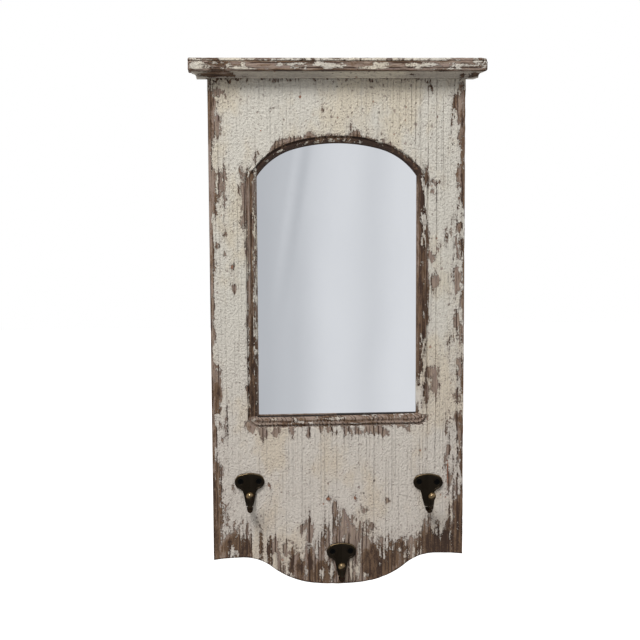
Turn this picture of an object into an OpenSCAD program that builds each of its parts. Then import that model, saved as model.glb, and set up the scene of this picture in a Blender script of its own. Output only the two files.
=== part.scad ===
// Wall mirror on a painted wooden board: arched opening with a routed edge, moulded crown, scalloped foot,
// three cast coat hooks, and on the back the mirror's fixings and two hangers.
// X runs to the right, Y runs back to the wall and Z runs up. The origin lies on the back of the board,
// on its centre line, level with the hanger pins. Sizes are millimetres.

/* [Board] */
// Width of the board
board_w = 305; // [290:1:330]
// Thickness of the board
board_t = 19; // [17:0.5:23]
// Height of the board from its lower corners to its top end
board_h = 584; // [570:1:640]

/* [Scalloped foot] */
// How far the belly hangs below the lower corners
belly_drop = 33.5; // [28:0.5:42]
// Radius of the belly at the centre line
belly_r = 270; // [245:5:295]
// Radius of the flanks beside the belly
flank_r = 100; // [88:1:112]
// Radius of the hollows between flanks and shoulders
notch_r = 56; // [46:1:68]
// Distance of each shoulder's crest from the board's side
crest_in = 35.5; // [28:0.5:44]
// Rise of the crests above the lower corners
crest_rise = 2.1; // [1:0.1:4]

/* [Mirror opening] */
// Width of the wood on each side of the opening
stile_w = 57; // [52:0.5:64]
// Height of the opening's lower edge above the lower corners
opening_foot = 176; // [150:1:200]
// Height of the wood above the arch
head_h = 83; // [76:1:100]
// Radius of the arch's flat top
arch_r = 195; // [170:1:230]
// Radius of the arch's haunches
haunch_r = 79; // [76:1:92]
// Angle from the centre line at which the haunches begin
haunch_from = 15; // [12:1:18]

/* [Routed edge] */
// Width of the routed band round the opening
band_w = 13.4; // [12.9:0.1:16]
// Depth of the routed band at the opening
band_d = 7.4; // [6.8:0.1:8.5]
// Flat ledge beside the opening
ledge_w = 0.8; // [0.4:0.1:1.2]
// Width of the cove beside the ledge
cove_w = 5.8; // [5:0.1:6.2]
// Depth of the two narrow grooves that set off the bead
quirk_d = 3.4; // [2.6:0.1:4]
// Radius of the bead
bead_r = 1.5; // [1.2:0.1:1.7]

/* [Glass and backing] */
// Depth of the glass below the board's front
glass_depth = 11.5; // [10:0.5:12]
// Thickness of the mirror glass
glass_t = 3; // [2:0.5:4]
// Thickness of the hardboard backing
backing_t = 3; // [2:0.5:3.5]
// How far the pocket for the glass reaches past the opening
rebate_w = 7.5; // [5:0.5:10]
// Radius left in the pocket's corners by the cutter
pocket_r = 6; // [3:0.5:8]
// Gap between the glass and the pocket's walls
glass_gap = 0.8; // [0.4:0.1:1.5]

/* [Crown] */
// Thickness of the crown cap
cap_t = 15; // [12:0.5:20]
// How far the cap stands out past the board's front and sides
cap_over = 22; // [20:0.5:30]
// Rounding of the cap's upper edges
cap_round = 3; // [1:0.5:5]
// Easing of the cap's lower edges
cap_ease = 1.2; // [0.4:0.2:2]
// How far the crown moulding's foot stands out from the board
mould_out = 12.3; // [10:0.1:13]
// Radius of the crown moulding's cove
mould_cove = 5.2; // [4:0.1:6]
// Height of the fillets above and below the cove
mould_fillet = 1.15; // [0.8:0.05:2]

/* [Hooks] */
// Thickness of a hook's plate
plate_t = 3; // [2.4:0.1:4]
// Distance between a hook's two screws
hook_pitch = 21.8; // [20.5:0.1:23]
// Radius of the plate's ears
ear_r = 9.2; // [8.4:0.1:9.6]
// Distance of the ears' centres from the plate's centre line
ear_x = 8.8; // [8:0.1:9.6]
// Radius of the plate's top edge
plate_top_r = 36; // [30:1:60]
// Radius of the hollow where the ears run into the stem
waist_r = 5.5; // [4:0.1:6.5]
// Half the stem's width below the plate
stem_half = 7.6; // [7.2:0.1:8]
// Radius of the prong's bend
bend_r = 11; // [10:0.5:13]
// Height of the bend's centre below the screws
bend_drop = 22.5; // [20:0.5:25]
// Height of the ball's centre below the screws
ball_drop = 12.4; // [8:0.1:14]
// Radius of the ball on the prong
ball_r = 4.6; // [4:0.1:5.5]
// Height of the two upper hooks' screws above the lower corners: left
hook_left_y = 97.3; // [80:1:110]
// Height of the right hook's screws
hook_right_y = 92.1; // [80:1:110]
// Height of the middle hook's screws
hook_mid_y = 8.4; // [4:0.2:20]
// Distance of the left hook from the board's side
hook_left_in = 44.4; // [40:0.1:52]
// Distance of the right hook from the board's side
hook_right_in = 43.6; // [40:0.1:52]
// Distance of the middle hook to the right of the centre line
hook_mid_x = 2.8; // [0:0.2:6]
// Turn of the right hook, which sits a little crooked
hook_right_turn = -2; // [-4:0.5:4]

/* [Hangers] */
// Depth of the hanger pins below the board's top end
hanger_drop = 44; // [38:1:50]
// Distance of each hanger from the board's side
hanger_in = 44.5; // [36:0.5:52]
// Thickness of the strap's sheet metal
strap_t = 0.8; // [0.6:0.1:1.2]
// Width of the strap
strap_w = 12; // [10:0.5:14]
// Length of the strap below the pin
strap_len = 15.5; // [14.5:0.5:18]
// Distance of the strap's screw below the pin
strap_screw = 9; // [8.5:0.1:9.5]
// Radius of the ring's wire
wire_r = 1.3; // [1.1:0.1:1.5]
// Width inside the ring
ring_in_w = 20; // [19:0.5:26]
// Height inside the ring
ring_in_h = 24; // [23:0.5:30]

/* [Turn buttons] */
// Thickness of a turn button
button_t = 1.2; // [0.8:0.1:1.6]
// Width of a turn button
button_w = 10; // [9:0.5:12]
// Reach of a turn button from its pivot to its tip
button_reach = 21; // [17:0.5:24]
// Length of a turn button behind its pivot
button_tail = 6.5; // [6:0.5:9]
// Distance of the pivots from the pocket's edge
button_off = 8; // [7.5:0.5:11]
// Distance of the side buttons from the pocket's lower and upper ends
button_inset = 62; // [40:1:80]

/* [Wall pads] */
// Radius of the pads that keep the hangers off the wall
pad_r = 7; // [5:0.5:9]
// Thickness of the pads
pad_t = 5; // [4.6:0.1:7]
// Distance of the pads' centres from the board's sides and ends
pad_in = 16; // [12:1:24]

/* [Fasteners] */
// Radius of the screws' shanks
screw_r = 1.7; // [1.4:0.1:2]
// Radius of the countersunk heads on the hooks
sunk_head_r = 3.1; // [2.6:0.1:3.4]
// Radius of the round heads on the back
round_head_r = 3.6; // [3:0.1:4]
// Height of the round heads
round_head_h = 2; // [1.6:0.1:2.6]
// How deep the screws go into the board
screw_bite = 12; // [8:0.5:14]
// Radius of the finishing nails
nail_r = 0.9; // [0.7:0.1:1.2]
// Length of the nails that hold the cap
nail_len = 34; // [26:1:40]
// Radius of the brads in the crown moulding
brad_r = 0.6; // [0.5:0.1:0.9]
// How deep the brads go into the board
brad_bite = 8; // [5:0.5:9]

/* [Hidden] */

$fn = 48;
past = 1;           // how far a cutter reaches past the face it opens
screw_play = 0.05;  // radial gap between a screw or nail and the hole in the wood
pin_play = 0.05;    // radial gap of a ring's bar in its loop and of a turn button on its screw
rub_gap = 0.1;      // gap on each side of a turn button

half_w = board_w / 2;
opening_w = board_w - 2 * stile_w;
opening_apex = board_h - head_h;
crest_x = half_w - crest_in;
cap_w = board_w + 2 * cap_over;
hang_h = board_h - hanger_drop;
hanger_x = half_w - hanger_in;

// Points along an arc, with angles counted anticlockwise from +X; skip = 1 leaves out the first point,
// which the arc shares with the one before it
function arc(centre, r, from, to, steps, skip = 0) =
    [for (i = [skip : steps]) let (a = from + (to - from) * i / steps) centre + r * [cos(a), sin(a)]];
function flipped(points) = [for (i = [len(points) - 1 : -1 : 0]) [-points[i].x, points[i].y]];
function smooth(t) = let (s = min(1, max(0, t))) s * s * (3 - 2 * s);
// Value of a curve at t, from a list of [t, value] that rises in t
function along(list, t, i = 0) =
    t <= list[0][0] ? list[0][1]
    : i >= len(list) - 1 ? list[len(list) - 1][1]
    : t <= list[i + 1][0]
        ? list[i][1] + (list[i + 1][1] - list[i][1]) * (t - list[i][0]) / (list[i + 1][0] - list[i][0])
        : along(list, t, i + 1);

// ---- Scalloped foot: belly, flank and notch meet at common tangents, found like the two links of an arm
foot_h = belly_drop + crest_rise;
link_a = belly_r - flank_r;
link_b = flank_r + notch_r;
reach = norm([crest_x, belly_r + notch_r - foot_h]);
reach_angle = atan2(crest_x, belly_r + notch_r - foot_h);
belly_angle = reach_angle - acos((link_a ^ 2 + reach ^ 2 - link_b ^ 2) / (2 * link_a * reach));
flank_angle = reach_angle + acos((link_b ^ 2 + reach ^ 2 - link_a ^ 2) / (2 * link_b * reach));
belly_c = [0, belly_r - belly_drop];
flank_c = belly_c + link_a * [sin(belly_angle), -cos(belly_angle)];
notch_c = flank_c + link_b * [sin(flank_angle), -cos(flank_angle)];
shoulder_run = half_w - crest_x;
shoulder_r = (shoulder_run ^ 2 + crest_rise ^ 2) / (2 * crest_rise);
foot_half = concat(
    arc(belly_c, belly_r, -90, -90 + belly_angle, 4),
    arc(flank_c, flank_r, -90 + belly_angle, -90 + flank_angle, 12, 1),
    arc(notch_c, notch_r, 90 + flank_angle, 90, 9, 1),
    arc([crest_x, crest_rise - shoulder_r], shoulder_r, 90, 90 - asin(shoulder_run / shoulder_r), 5, 1)
);
foot_left = [for (p = flipped(foot_half)) if (p.x < 0) p];
board_outline = concat(foot_left, foot_half, [[half_w, board_h], [-half_w, board_h]]);

// ---- Arched opening: a flat top arc between two tighter haunches that break to the upright sides
open_half = opening_w / 2;
arch_c = [0, opening_apex - arch_r];
haunch_c = arch_c + (arch_r - haunch_r) * [sin(haunch_from), cos(haunch_from)];
spring_angle = acos((open_half - haunch_c.x) / haunch_r);
spring_y = haunch_c.y + haunch_r * sin(spring_angle);

haunch_steps = 14;
crown_steps = 6;
function on_haunch(i) = let (a = spring_angle + (90 - haunch_from - spring_angle) * i / haunch_steps)
    [haunch_c + haunch_r * [cos(a), sin(a)], a, [-cos(a), -sin(a)]];
function on_crown(i) = let (a = 90 - haunch_from + haunch_from * i / crown_steps)
    [arch_c + arch_r * [cos(a), sin(a)], a, [-cos(a), -sin(a)]];

// Path of the routed band up the right half of the opening and back down the left half, as
// [point, direction in which the wood lies, direction over the opening]
path_half = concat(
    [for (i = [0 : 9]) [[open_half, opening_foot], -90 + 10 * i, [-1, 1]]],
    [for (i = [0 : 4]) [[open_half, spring_y], spring_angle * i / 4, [-1, -0.5]]],
    [for (i = [1 : haunch_steps]) on_haunch(i)],
    [for (i = [1 : crown_steps]) on_crown(i)]
);
band_path = concat(path_half, [for (i = [len(path_half) - 2 : -1 : 0]) let (q = path_half[i])
    [[-q[0].x, q[0].y], 180 - q[1], [-q[2].x, q[2].y]]]);

// Outline of the opening itself
arch_half = concat(
    [[open_half, opening_foot], [open_half, spring_y]],
    [for (i = [0 : haunch_steps - 1]) on_haunch(i + 0.5)[0]],
    [for (i = [0 : crown_steps - 1]) on_crown(i + 0.5)[0]]
);
arch_outline = concat(arch_half, flipped(arch_half));

// ---- Routed band, drawn across: x outward from the opening, y forward from the board's back
groove_w = (band_w - ledge_w - cove_w - 2 * bead_r) / 2;
groove_floor = board_t - quirk_d;
ledge_face = board_t - band_d;
draft = 0.3;        // how far the grooves' outer walls lean
cove_lip = 0.6;     // height of the cove's upper edge above the grooves' floor
bead_lift = 0.9;    // height of the bead's centre above the grooves' floor
cutter_reach = 2;   // how far the cutter runs over the opening
cove_end = [ledge_w + cove_w, groove_floor + cove_lip];
bead_x = band_w - groove_w - bead_r;
band_face = concat(
    [[ledge_w, ledge_face]],
    [for (i = [1 : 5]) let (a = 90 * i / 5)
        [ledge_w + cove_w * (1 - cos(a)), ledge_face + (cove_end.y - ledge_face) * sin(a)]],
    [[cove_end.x + draft, groove_floor], [bead_x - bead_r, groove_floor]],
    arc([bead_x, groove_floor + bead_lift], bead_r, 180, 0, 6),
    [[bead_x + bead_r, groove_floor], [band_w - draft, groove_floor], [band_w, board_t + past]]
);
// The cutter's section at one place on the path
function band_section(place) = let (
    inner = place[0] + cutter_reach * place[2],
    out = [cos(place[1]), sin(place[1])]
) concat(
    [[inner.x, inner.y, ledge_face]],
    [for (q = band_face) [place[0].x + q.x * out.x, place[0].y + q.x * out.y, q.y]],
    [[inner.x, inner.y, board_t + past]]
);

// ---- Pocket for the glass
pocket_d = board_t - glass_depth;
pocket_half = open_half + rebate_w;
pocket_low = opening_foot - rebate_w;
pocket_top = opening_apex + rebate_w;
corner_clip = 0.7 * pocket_r;   // bevel that clears the pocket's round corners
cushion_t = pocket_d - glass_t - backing_t;

// ---- Crown
cap_depth = board_t + cap_over;
mould_h = mould_cove + 2 * mould_fillet;
mould_lip = 0.4;    // width of the fillet above the cove
mould_top = mould_out + mould_cove + mould_lip;
mould_profile = concat(
    [[0, 0], [mould_top, 0], [mould_top, -mould_fillet]],
    arc([mould_out + mould_cove, -mould_fillet - mould_cove], mould_cove, 90, 180, 6),
    [[mould_out, -mould_h], [0, -mould_h]]
);
brad_y = board_h - mould_h / 2;
nail_xs = half_w * [-0.85, -0.3, 0.3, 0.85];
brad_xs = half_w * [-0.6, 0, 0.6];
nail_set = 0.35 * nail_r;       // depth of the nail heads below the cap's top
nail_head_r = 1.6 * nail_r;
nail_head_h = 1.3 * nail_r;
brad_set = 0.6 * brad_r;        // depth of the brads' ends below the moulding's foot

// ---- Hooks: each is [distance right of the centre line, height, turn, sideways lean of the prong]
HOOKS = [
    [hook_left_in - half_w, hook_left_y, 0, -0.2],
    [hook_mid_x, hook_mid_y, 0, -1.6],
    [half_w - hook_right_in, hook_right_y, hook_right_turn, 1.8]
];
stem_taper = 12;            // lean of the stem's edges
stem_z = 3.6;               // distance of the stem's centre line from the board at the bend
stem_low = 15;              // depth below the screws at which the stem has its full half-width
stem_edge = 9;              // length of the stem's straight edges
plate_bevel = 1.3;          // bevel all round the plate's face
ear_low = 0.6;              // depth of the ears' centres below the screws
ear_c = [ear_x, -ear_low];
top_c = [0, ear_c.y - sqrt((plate_top_r - ear_r) ^ 2 - ear_x ^ 2)];
top_angle = atan2(ear_c.x, ear_c.y - top_c.y);
// The waist's centre is tangent to the ear and to the stem's edge, which leans inward by stem_taper
edge_n = [cos(stem_taper), -sin(stem_taper)];
edge_off = stem_half * cos(stem_taper) + stem_low * sin(stem_taper) + waist_r;
ear_off = edge_n * ear_c;
slide = sqrt((ear_r + waist_r) ^ 2 - (edge_off - ear_off) ^ 2);
waist_c = ear_c + (edge_off - ear_off) * edge_n + slide * [edge_n.y, -edge_n.x];
waist_angle = atan2(waist_c.y - ear_c.y, waist_c.x - ear_c.x);
plate_end = waist_c - stem_edge * [sin(stem_taper), cos(stem_taper)] - waist_r * edge_n;

// Plate outline, drawn in by a margin all round
function plate_half(inset) = concat(
    arc(top_c, plate_top_r - inset, 90, 90 - top_angle, 4),
    arc(ear_c, ear_r - inset, 90 - top_angle, waist_angle, 9, 1),
    arc(waist_c, waist_r + inset, 180 + waist_angle, 180 - stem_taper, 5, 1),
    [plate_end - inset * [1, -1]]
);
function plate_outline(inset) = let (half = plate_half(inset))
    concat(half, [for (p = flipped(half)) if (p.x < -0.001) p]);
function lifted(points, z) = [for (p = points) [p.x, p.y, z]];

// Prong: u runs 0 to 1 down the stem, 1 to 2 round the bend and 2 to 3 up to the ball
stem_top = 5;       // depth below the screws at which the prong grows out of the plate
stem_top_z = 1.6;
function prong_point(u) =
    u <= 1 ? [-stem_top - (bend_drop - stem_top) * u, stem_top_z + (stem_z - stem_top_z) * smooth(u)]
    : u <= 2 ? let (a = 180 * (u - 1)) [-bend_drop - bend_r * sin(a), stem_z + bend_r - bend_r * cos(a)]
    : [-bend_drop + (bend_drop - ball_drop) * (u - 2), stem_z + 2 * bend_r];
function prong_dir(u) =
    u <= 1 ? [-1, 0] : u <= 2 ? let (a = 180 * (u - 1)) [-cos(a), sin(a)] : [1, 0];
half_width = [
    [0, stem_half + 0.8], [0.45, stem_half - 0.2], [1, 6.1], [1.25, 4.4], [1.5, 3.1], [2, 2.9], [3, 3.7]
];
half_depth = [[0, 1.3], [0.45, 1.9], [1, 2.5], [1.5, 2.5], [2, 2.7], [3, 3.4]];
function prong_ring(u, lean, sides) =
    let (c = prong_point(u), d = prong_dir(u), a = along(half_width, u), b = along(half_depth, u),
         x0 = lean * smooth((u - 0.6) / 2))
    [for (k = [0 : sides - 1]) let (t = 360 * k / sides, w = b * sin(t))
        [x0 + a * cos(t), c.x - w * d.y, c.y + w * d.x]];
prong_steps = concat([for (i = [0 : 4]) i / 4], [for (i = [1 : 14]) 1 + i / 14], [2.35, 2.7, 3]);
prong_sides = 16;

// ---- Hangers
loop_in = wire_r + pin_play;
loop_out = loop_in + strap_t;
ring_bend = 2.4;    // radius of the wire's centre line at the ring's upper corners

// ---- Screws
head_sink = 0.5;    // depth of the countersunk heads below a hook's face
recess_d = 0.9;     // depth of their cross recesses
dome_r = (round_head_r ^ 2 + round_head_h ^ 2) / (2 * round_head_h) + 0.6;

// ---- Turn buttons: pivot, and the direction in which the button points
button_seat = button_t + 2 * rub_gap;
button_y0 = pocket_low + button_inset;
button_y1 = pocket_top - button_inset;
BUTTONS = [
    [[-pocket_half - button_off, button_y1], 0],
    [[-pocket_half - button_off, button_y0], 0],
    [[pocket_half + button_off, button_y1], 180],
    [[pocket_half + button_off, button_y0], 180],
    [[0, pocket_top + button_off], -90],
    [[0, pocket_low - button_off], 90]
];

// Stands up what is drawn flat: x stays, y becomes height above the lower corners, z points to the front
module upright() {
    translate([0, 0, -hang_h]) rotate([90, 0, 0]) children();
}

// Two triangles for each four-sided patch between rings of equal count, without those that shrink to a line
function patches(rings, closed) = let (n = len(rings[0]), count = len(rings))
    [for (r = [0 : count - (closed ? 1 : 2)], k = [0 : n - 1], half = [0, 1])
        let (s = (r + 1) % count, m = (k + 1) % n,
             t = half == 0 ? [[r, k], [s, m], [s, k]] : [[r, k], [r, m], [s, m]],
             p = [for (q = t) rings[q[0]][q[1]]])
        if (min(norm(p[0] - p[1]), norm(p[1] - p[2]), norm(p[2] - p[0])) > 0.0001)
            [for (q = t) q[0] * n + q[1]]];

// A closed skin over rings that run clockwise seen from the last ring's end
module loft(rings) {
    n = len(rings[0]);
    ends = [[for (k = [n - 1 : -1 : 0]) k], [for (k = [0 : n - 1]) (len(rings) - 1) * n + k]];
    polyhedron([for (ring = rings, p = ring) p], concat(patches(rings, false), ends), convexity = 6);
}

// ---------------------------------------------------------------- Board
module routed_band() {
    rings = [for (place = band_path) band_section(place)];
    polyhedron([for (ring = rings, p = ring) p], patches(rings, true), convexity = 8);
}

module pocket_plan(half, low, top, r) {
    polygon(concat(
        arc([half - r, top - r], r, 0, 90, 6), arc([-half + r, top - r], r, 90, 180, 6),
        arc([-half + r, low + r], r, 180, 270, 6), arc([half - r, low + r], r, 270, 360, 6)
    ));
}

module panel() {
    color([0.82, 0.79, 0.72]) upright() difference() {
        linear_extrude(board_t) polygon(board_outline);
        translate([0, 0, -past]) linear_extrude(board_t + 2 * past) polygon(arch_outline);
        routed_band();
        translate([0, 0, -past]) linear_extrude(pocket_d + past)
            pocket_plan(pocket_half, pocket_low, pocket_top, pocket_r);
        for (hook = HOOKS) at_hook(hook) hook_screw_pair(screw_play, false);
        for (button = BUTTONS) button_screw(button, screw_play);
        for (side = [-1, 1]) hanger_screw(side, screw_play);
        for (x = nail_xs) crown_nail(x, screw_play);
        for (x = brad_xs) front_brad(x, screw_play);
        for (side = [-1, 1]) side_brad(side, screw_play);
    }
}

// ---------------------------------------------------------------- Mirror and backing
module sheet(half, low, top, clip) {
    polygon([
        [-half + clip, low], [half - clip, low], [half, low + clip], [half, top - clip],
        [half - clip, top], [-half + clip, top], [-half, top - clip], [-half, low + clip]
    ]);
}

module pocket_sheet(z, thickness) {
    upright() translate([0, 0, z]) linear_extrude(thickness)
        sheet(pocket_half - glass_gap, pocket_low + glass_gap, pocket_top - glass_gap, corner_clip);
}

module mirror_glass() {
    color([0.80, 0.83, 0.86]) pocket_sheet(pocket_d - glass_t, glass_t);
}

module cushion_sheet() {
    color([0.62, 0.52, 0.38]) pocket_sheet(backing_t, cushion_t);
}

module backing_board() {
    color([0.42, 0.29, 0.19]) pocket_sheet(0, backing_t);
}

// ---------------------------------------------------------------- Crown
module eased_plan(half_x, height, low_r, top_r) {
    polygon(concat(
        arc([half_x - low_r, low_r], low_r, -90, 0, 3),
        arc([half_x - top_r, height - top_r], top_r, 0, 90, 6),
        arc([-half_x + top_r, height - top_r], top_r, 90, 180, 6),
        arc([-half_x + low_r, low_r], low_r, 180, 270, 3)
    ));
}

module crown_cap() {
    color([0.62, 0.55, 0.47]) upright() difference() {
        translate([0, board_h, 0]) intersection() {
            linear_extrude(cap_depth) eased_plan(cap_w / 2, cap_t, cap_ease, cap_round);
            translate([-cap_w / 2, 0, 0]) rotate([0, 90, 0]) rotate([0, 0, 180]) linear_extrude(cap_w)
                mirror([0, 1, 0]) intersection() {
                    eased_plan(cap_depth, cap_t, cap_ease, cap_round);
                    square([cap_depth, cap_t]);
                }
        }
        for (x = nail_xs) crown_nail(x, screw_play);
    }
}

// Cuts away what lies past the mitre at the board's right-hand front corner, on one side of it or the other
module mitre_cut(keep_front) {
    cutter = 3 * (mould_top + board_t);
    translate([half_w, board_h - mould_h - past, board_t]) rotate([0, -45, 0])
        translate([keep_front ? 0 : -cutter, 0, -cutter / 2]) cube([cutter, mould_h + 2 * past, cutter]);
}

module crown_moulding_front() {
    length = board_w + 2 * mould_top;
    color([0.60, 0.56, 0.50]) upright() difference() {
        translate([length / 2, board_h, board_t]) rotate([0, -90, 0])
            linear_extrude(length) polygon(mould_profile);
        for (side = [0, 1]) mirror([side, 0, 0]) mitre_cut(true);
        for (x = brad_xs) front_brad(x, screw_play);
    }
}

module moulding_return(side) {
    color([0.56, 0.52, 0.46]) upright() difference() {
        mirror([side < 0 ? 1 : 0, 0, 0]) difference() {
            translate([half_w, board_h, 0]) linear_extrude(board_t + mould_top) polygon(mould_profile);
            mitre_cut(false);
        }
        side_brad(side, screw_play);
    }
}

module crown_moulding_left() { moulding_return(-1); }
module crown_moulding_right() { moulding_return(1); }

// ---------------------------------------------------------------- Nails and screws
module crown_nail(x, play = 0) {
    above = play > 0 ? nail_set + past : 0;
    translate([x, board_h + cap_t - nail_set, board_t / 2]) rotate([90, 0, 0]) {
        cylinder(h = nail_len, r = nail_r + play);
        translate([0, 0, -above]) cylinder(h = nail_head_h + above, r = nail_head_r + play);
    }
}

// A brad along +z from the wood into the moulding; its hole runs out through the moulding's face
module brad(play) {
    out = mould_out - brad_set + (play > 0 ? mould_cove + brad_set : 0);
    translate([0, 0, -brad_bite]) cylinder(h = brad_bite + out, r = brad_r + play, $fn = 24);
}

module front_brad(x, play = 0) {
    translate([x, brad_y, board_t]) brad(play);
}

module side_brad(side, play = 0) {
    translate([side * half_w, brad_y, board_t / 2]) rotate([0, side * 90, 0]) brad(play);
}

module cross_recess(size, depth) {
    for (a = [0, 90]) rotate([0, 0, a])
        translate([-size / 2, -size / 8, -depth]) cube([size, size / 4, depth + past]);
}

// A round-headed screw seated at z = 0, head towards -z, shank into the board towards +z
module round_screw(seat, bite, play) {
    translate([0, 0, -seat]) cylinder(h = seat + bite, r = screw_r + play);
    if (play == 0) difference() {
        translate([0, 0, -seat]) intersection() {
            translate([0, 0, -round_head_h]) cylinder(h = round_head_h, r = round_head_r);
            translate([0, 0, dome_r - round_head_h]) sphere(r = dome_r);
        }
        translate([0, 0, -seat - round_head_h]) mirror([0, 0, 1])
            cross_recess(round_head_r, round_head_h / 2);
    }
}
module crown_nails() {
    color([0.35, 0.34, 0.33]) upright() for (x = nail_xs) crown_nail(x);
}

module moulding_brads() {
    color([0.35, 0.34, 0.33]) upright() {
        for (x = brad_xs) front_brad(x);
        for (side = [-1, 1]) side_brad(side);
    }
}

// ---------------------------------------------------------------- Turn buttons
module button_screw(button, play = 0) {
    translate([button[0].x, button[0].y, 0]) round_screw(button_seat, screw_bite, play);
}

module turn_button(button) {
    end_r = button_w / 2;
    color([0.72, 0.66, 0.46]) upright()
        translate([button[0].x, button[0].y, -rub_gap - button_t]) rotate([0, 0, button[1]]) difference() {
            union() {
                translate([-button_tail + end_r, 0, 0]) cylinder(h = button_t, r = end_r);
                translate([button_reach - end_r, 0, 0]) cylinder(h = button_t, r = end_r);
                translate([-button_tail + end_r, -end_r, 0])
                    cube([button_reach + button_tail - button_w, button_w, button_t]);
            }
            translate([0, 0, -past]) cylinder(h = button_t + 2 * past, r = screw_r + pin_play);
        }
}

module turn_button_left_upper() { turn_button(BUTTONS[0]); }
module turn_button_left_lower() { turn_button(BUTTONS[1]); }
module turn_button_right_upper() { turn_button(BUTTONS[2]); }
module turn_button_right_lower() { turn_button(BUTTONS[3]); }
module turn_button_top() { turn_button(BUTTONS[4]); }
module turn_button_bottom() { turn_button(BUTTONS[5]); }

module turn_button_screws() {
    color([0.70, 0.70, 0.72]) upright() for (button = BUTTONS) button_screw(button);
}

// ---------------------------------------------------------------- Hangers
module hanger_screw(side, play = 0) {
    translate([side * hanger_x, hang_h - strap_screw, 0]) round_screw(2 * strap_t, screw_bite, play);
}

// Seen from the side: x runs up from the pin, y runs back from the board
module strap_side() {
    slope_end = loop_out * (1 + 2 * cos(45)) - 2 * strap_t;
    polygon(concat(
        [[-strap_len, 0]],
        [for (a = [-90 : 15 : 135]) [loop_out * cos(a), loop_out + loop_out * sin(a)]],
        [[-slope_end, 2 * strap_t], [-strap_len, 2 * strap_t]]
    ));
}

module hanger_strap(side) {
    color([0.70, 0.70, 0.72]) upright() translate([side * hanger_x, hang_h, 0]) difference() {
        intersection() {
            translate([-strap_w / 2, 0, 0]) rotate([0, 90, 0]) rotate([0, 0, 90])
                linear_extrude(strap_w) mirror([0, 1]) strap_side();
            union() {
                translate([0, -strap_len + strap_w / 2, -3 * loop_out])
                    cylinder(h = 4 * loop_out, r = strap_w / 2);
                translate([-strap_w / 2, -strap_len + strap_w / 2, -3 * loop_out])
                    cube([strap_w, strap_len + loop_out, 4 * loop_out]);
            }
        }
        translate([-strap_w / 2 - past, 0, -loop_out]) rotate([0, 90, 0])
            cylinder(h = strap_w + 2 * past, r = loop_in);
        translate([0, -strap_screw, -3 * strap_t]) cylinder(h = 4 * strap_t, r = screw_r + screw_play);
    }
}

module hanger_ring(side) {
    leg_x = ring_in_w / 2 + wire_r;
    leg_top = -ring_bend;
    leg_low = -(ring_in_h + 2 * wire_r) + leg_x;
    color([0.72, 0.72, 0.74]) upright() translate([side * hanger_x, hang_h, -loop_out]) {
        translate([-leg_x + ring_bend, 0, 0]) rotate([0, 90, 0])
            cylinder(h = 2 * (leg_x - ring_bend), r = wire_r);
        for (s = [0, 1]) mirror([s, 0, 0]) {
            translate([leg_x - ring_bend, -ring_bend, 0])
                rotate_extrude(angle = 90) translate([ring_bend, 0]) circle(wire_r);
            translate([leg_x, leg_low, 0]) rotate([-90, 0, 0]) cylinder(h = leg_top - leg_low, r = wire_r);
        }
        translate([0, leg_low, 0]) rotate([0, 0, 180])
            rotate_extrude(angle = 180) translate([leg_x, 0]) circle(wire_r);
    }
}

module hanger_strap_left() { hanger_strap(-1); }
module hanger_strap_right() { hanger_strap(1); }
module hanger_ring_left() { hanger_ring(-1); }
module hanger_ring_right() { hanger_ring(1); }

module hanger_screws() {
    color([0.70, 0.70, 0.72]) upright() for (side = [-1, 1]) hanger_screw(side);
}

// ---------------------------------------------------------------- Wall pads
module wall_pads() {
    color([0.16, 0.15, 0.14]) upright() for (side = [-1, 1], y = [pad_in, board_h - pad_in])
        translate([side * (half_w - pad_in), y, -pad_t]) cylinder(h = pad_t, r = pad_r);
}

// ---------------------------------------------------------------- Hooks
module at_hook(hook) {
    translate([hook[0], hook[1], board_t]) rotate([0, 0, hook[2]]) children();
}

// Two countersunk screws in a hook's plate; the heads lie a little below its face
module hook_screw_pair(play, heads = true) {
    for (side = [-1, 1]) translate([side * hook_pitch / 2, 0, 0]) {
        translate([0, 0, -screw_bite])
            cylinder(h = screw_bite + plate_t - head_sink - recess_d / 2, r = screw_r + play);
        if (heads) translate([0, 0, plate_t - head_sink]) difference() {
            union() {
                translate([0, 0, screw_r - sunk_head_r])
                    cylinder(h = sunk_head_r - screw_r, r1 = screw_r + play, r2 = sunk_head_r + play);
                if (play > 0) cylinder(h = head_sink + past, r = sunk_head_r + play);
            }
            if (play == 0) cross_recess(sunk_head_r, recess_d);
        }
    }
}

module hook(hook) {
    color([0.20, 0.16, 0.11]) upright() at_hook(hook) difference() {
        union() {
            loft([
                lifted(plate_outline(0), 0), lifted(plate_outline(0), plate_t - plate_bevel),
                lifted(plate_outline(0.4 * plate_bevel), plate_t - 0.3 * plate_bevel),
                lifted(plate_outline(plate_bevel), plate_t)
            ]);
            loft([for (u = prong_steps) prong_ring(u, hook[3], prong_sides)]);
            translate([hook[3], -ball_drop, stem_z + 2 * bend_r]) sphere(r = ball_r);
        }
        hook_screw_pair(screw_play);
    }
}

module hook_left() { hook(HOOKS[0]); }
module hook_mid() { hook(HOOKS[1]); }
module hook_right() { hook(HOOKS[2]); }

module hook_screws() {
    color([0.10, 0.10, 0.10]) upright() for (hook = HOOKS) at_hook(hook) hook_screw_pair(0);
}

panel();
crown_cap();
crown_moulding_front();
crown_moulding_left();
crown_moulding_right();
crown_nails();
moulding_brads();
mirror_glass();
cushion_sheet();
backing_board();
turn_button_left_upper();
turn_button_left_lower();
turn_button_right_upper();
turn_button_right_lower();
turn_button_top();
turn_button_bottom();
turn_button_screws();
hanger_strap_left();
hanger_strap_right();
hanger_ring_left();
hanger_ring_right();
hanger_screws();
wall_pads();
hook_left();
hook_mid();
hook_right();
hook_screws();
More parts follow.
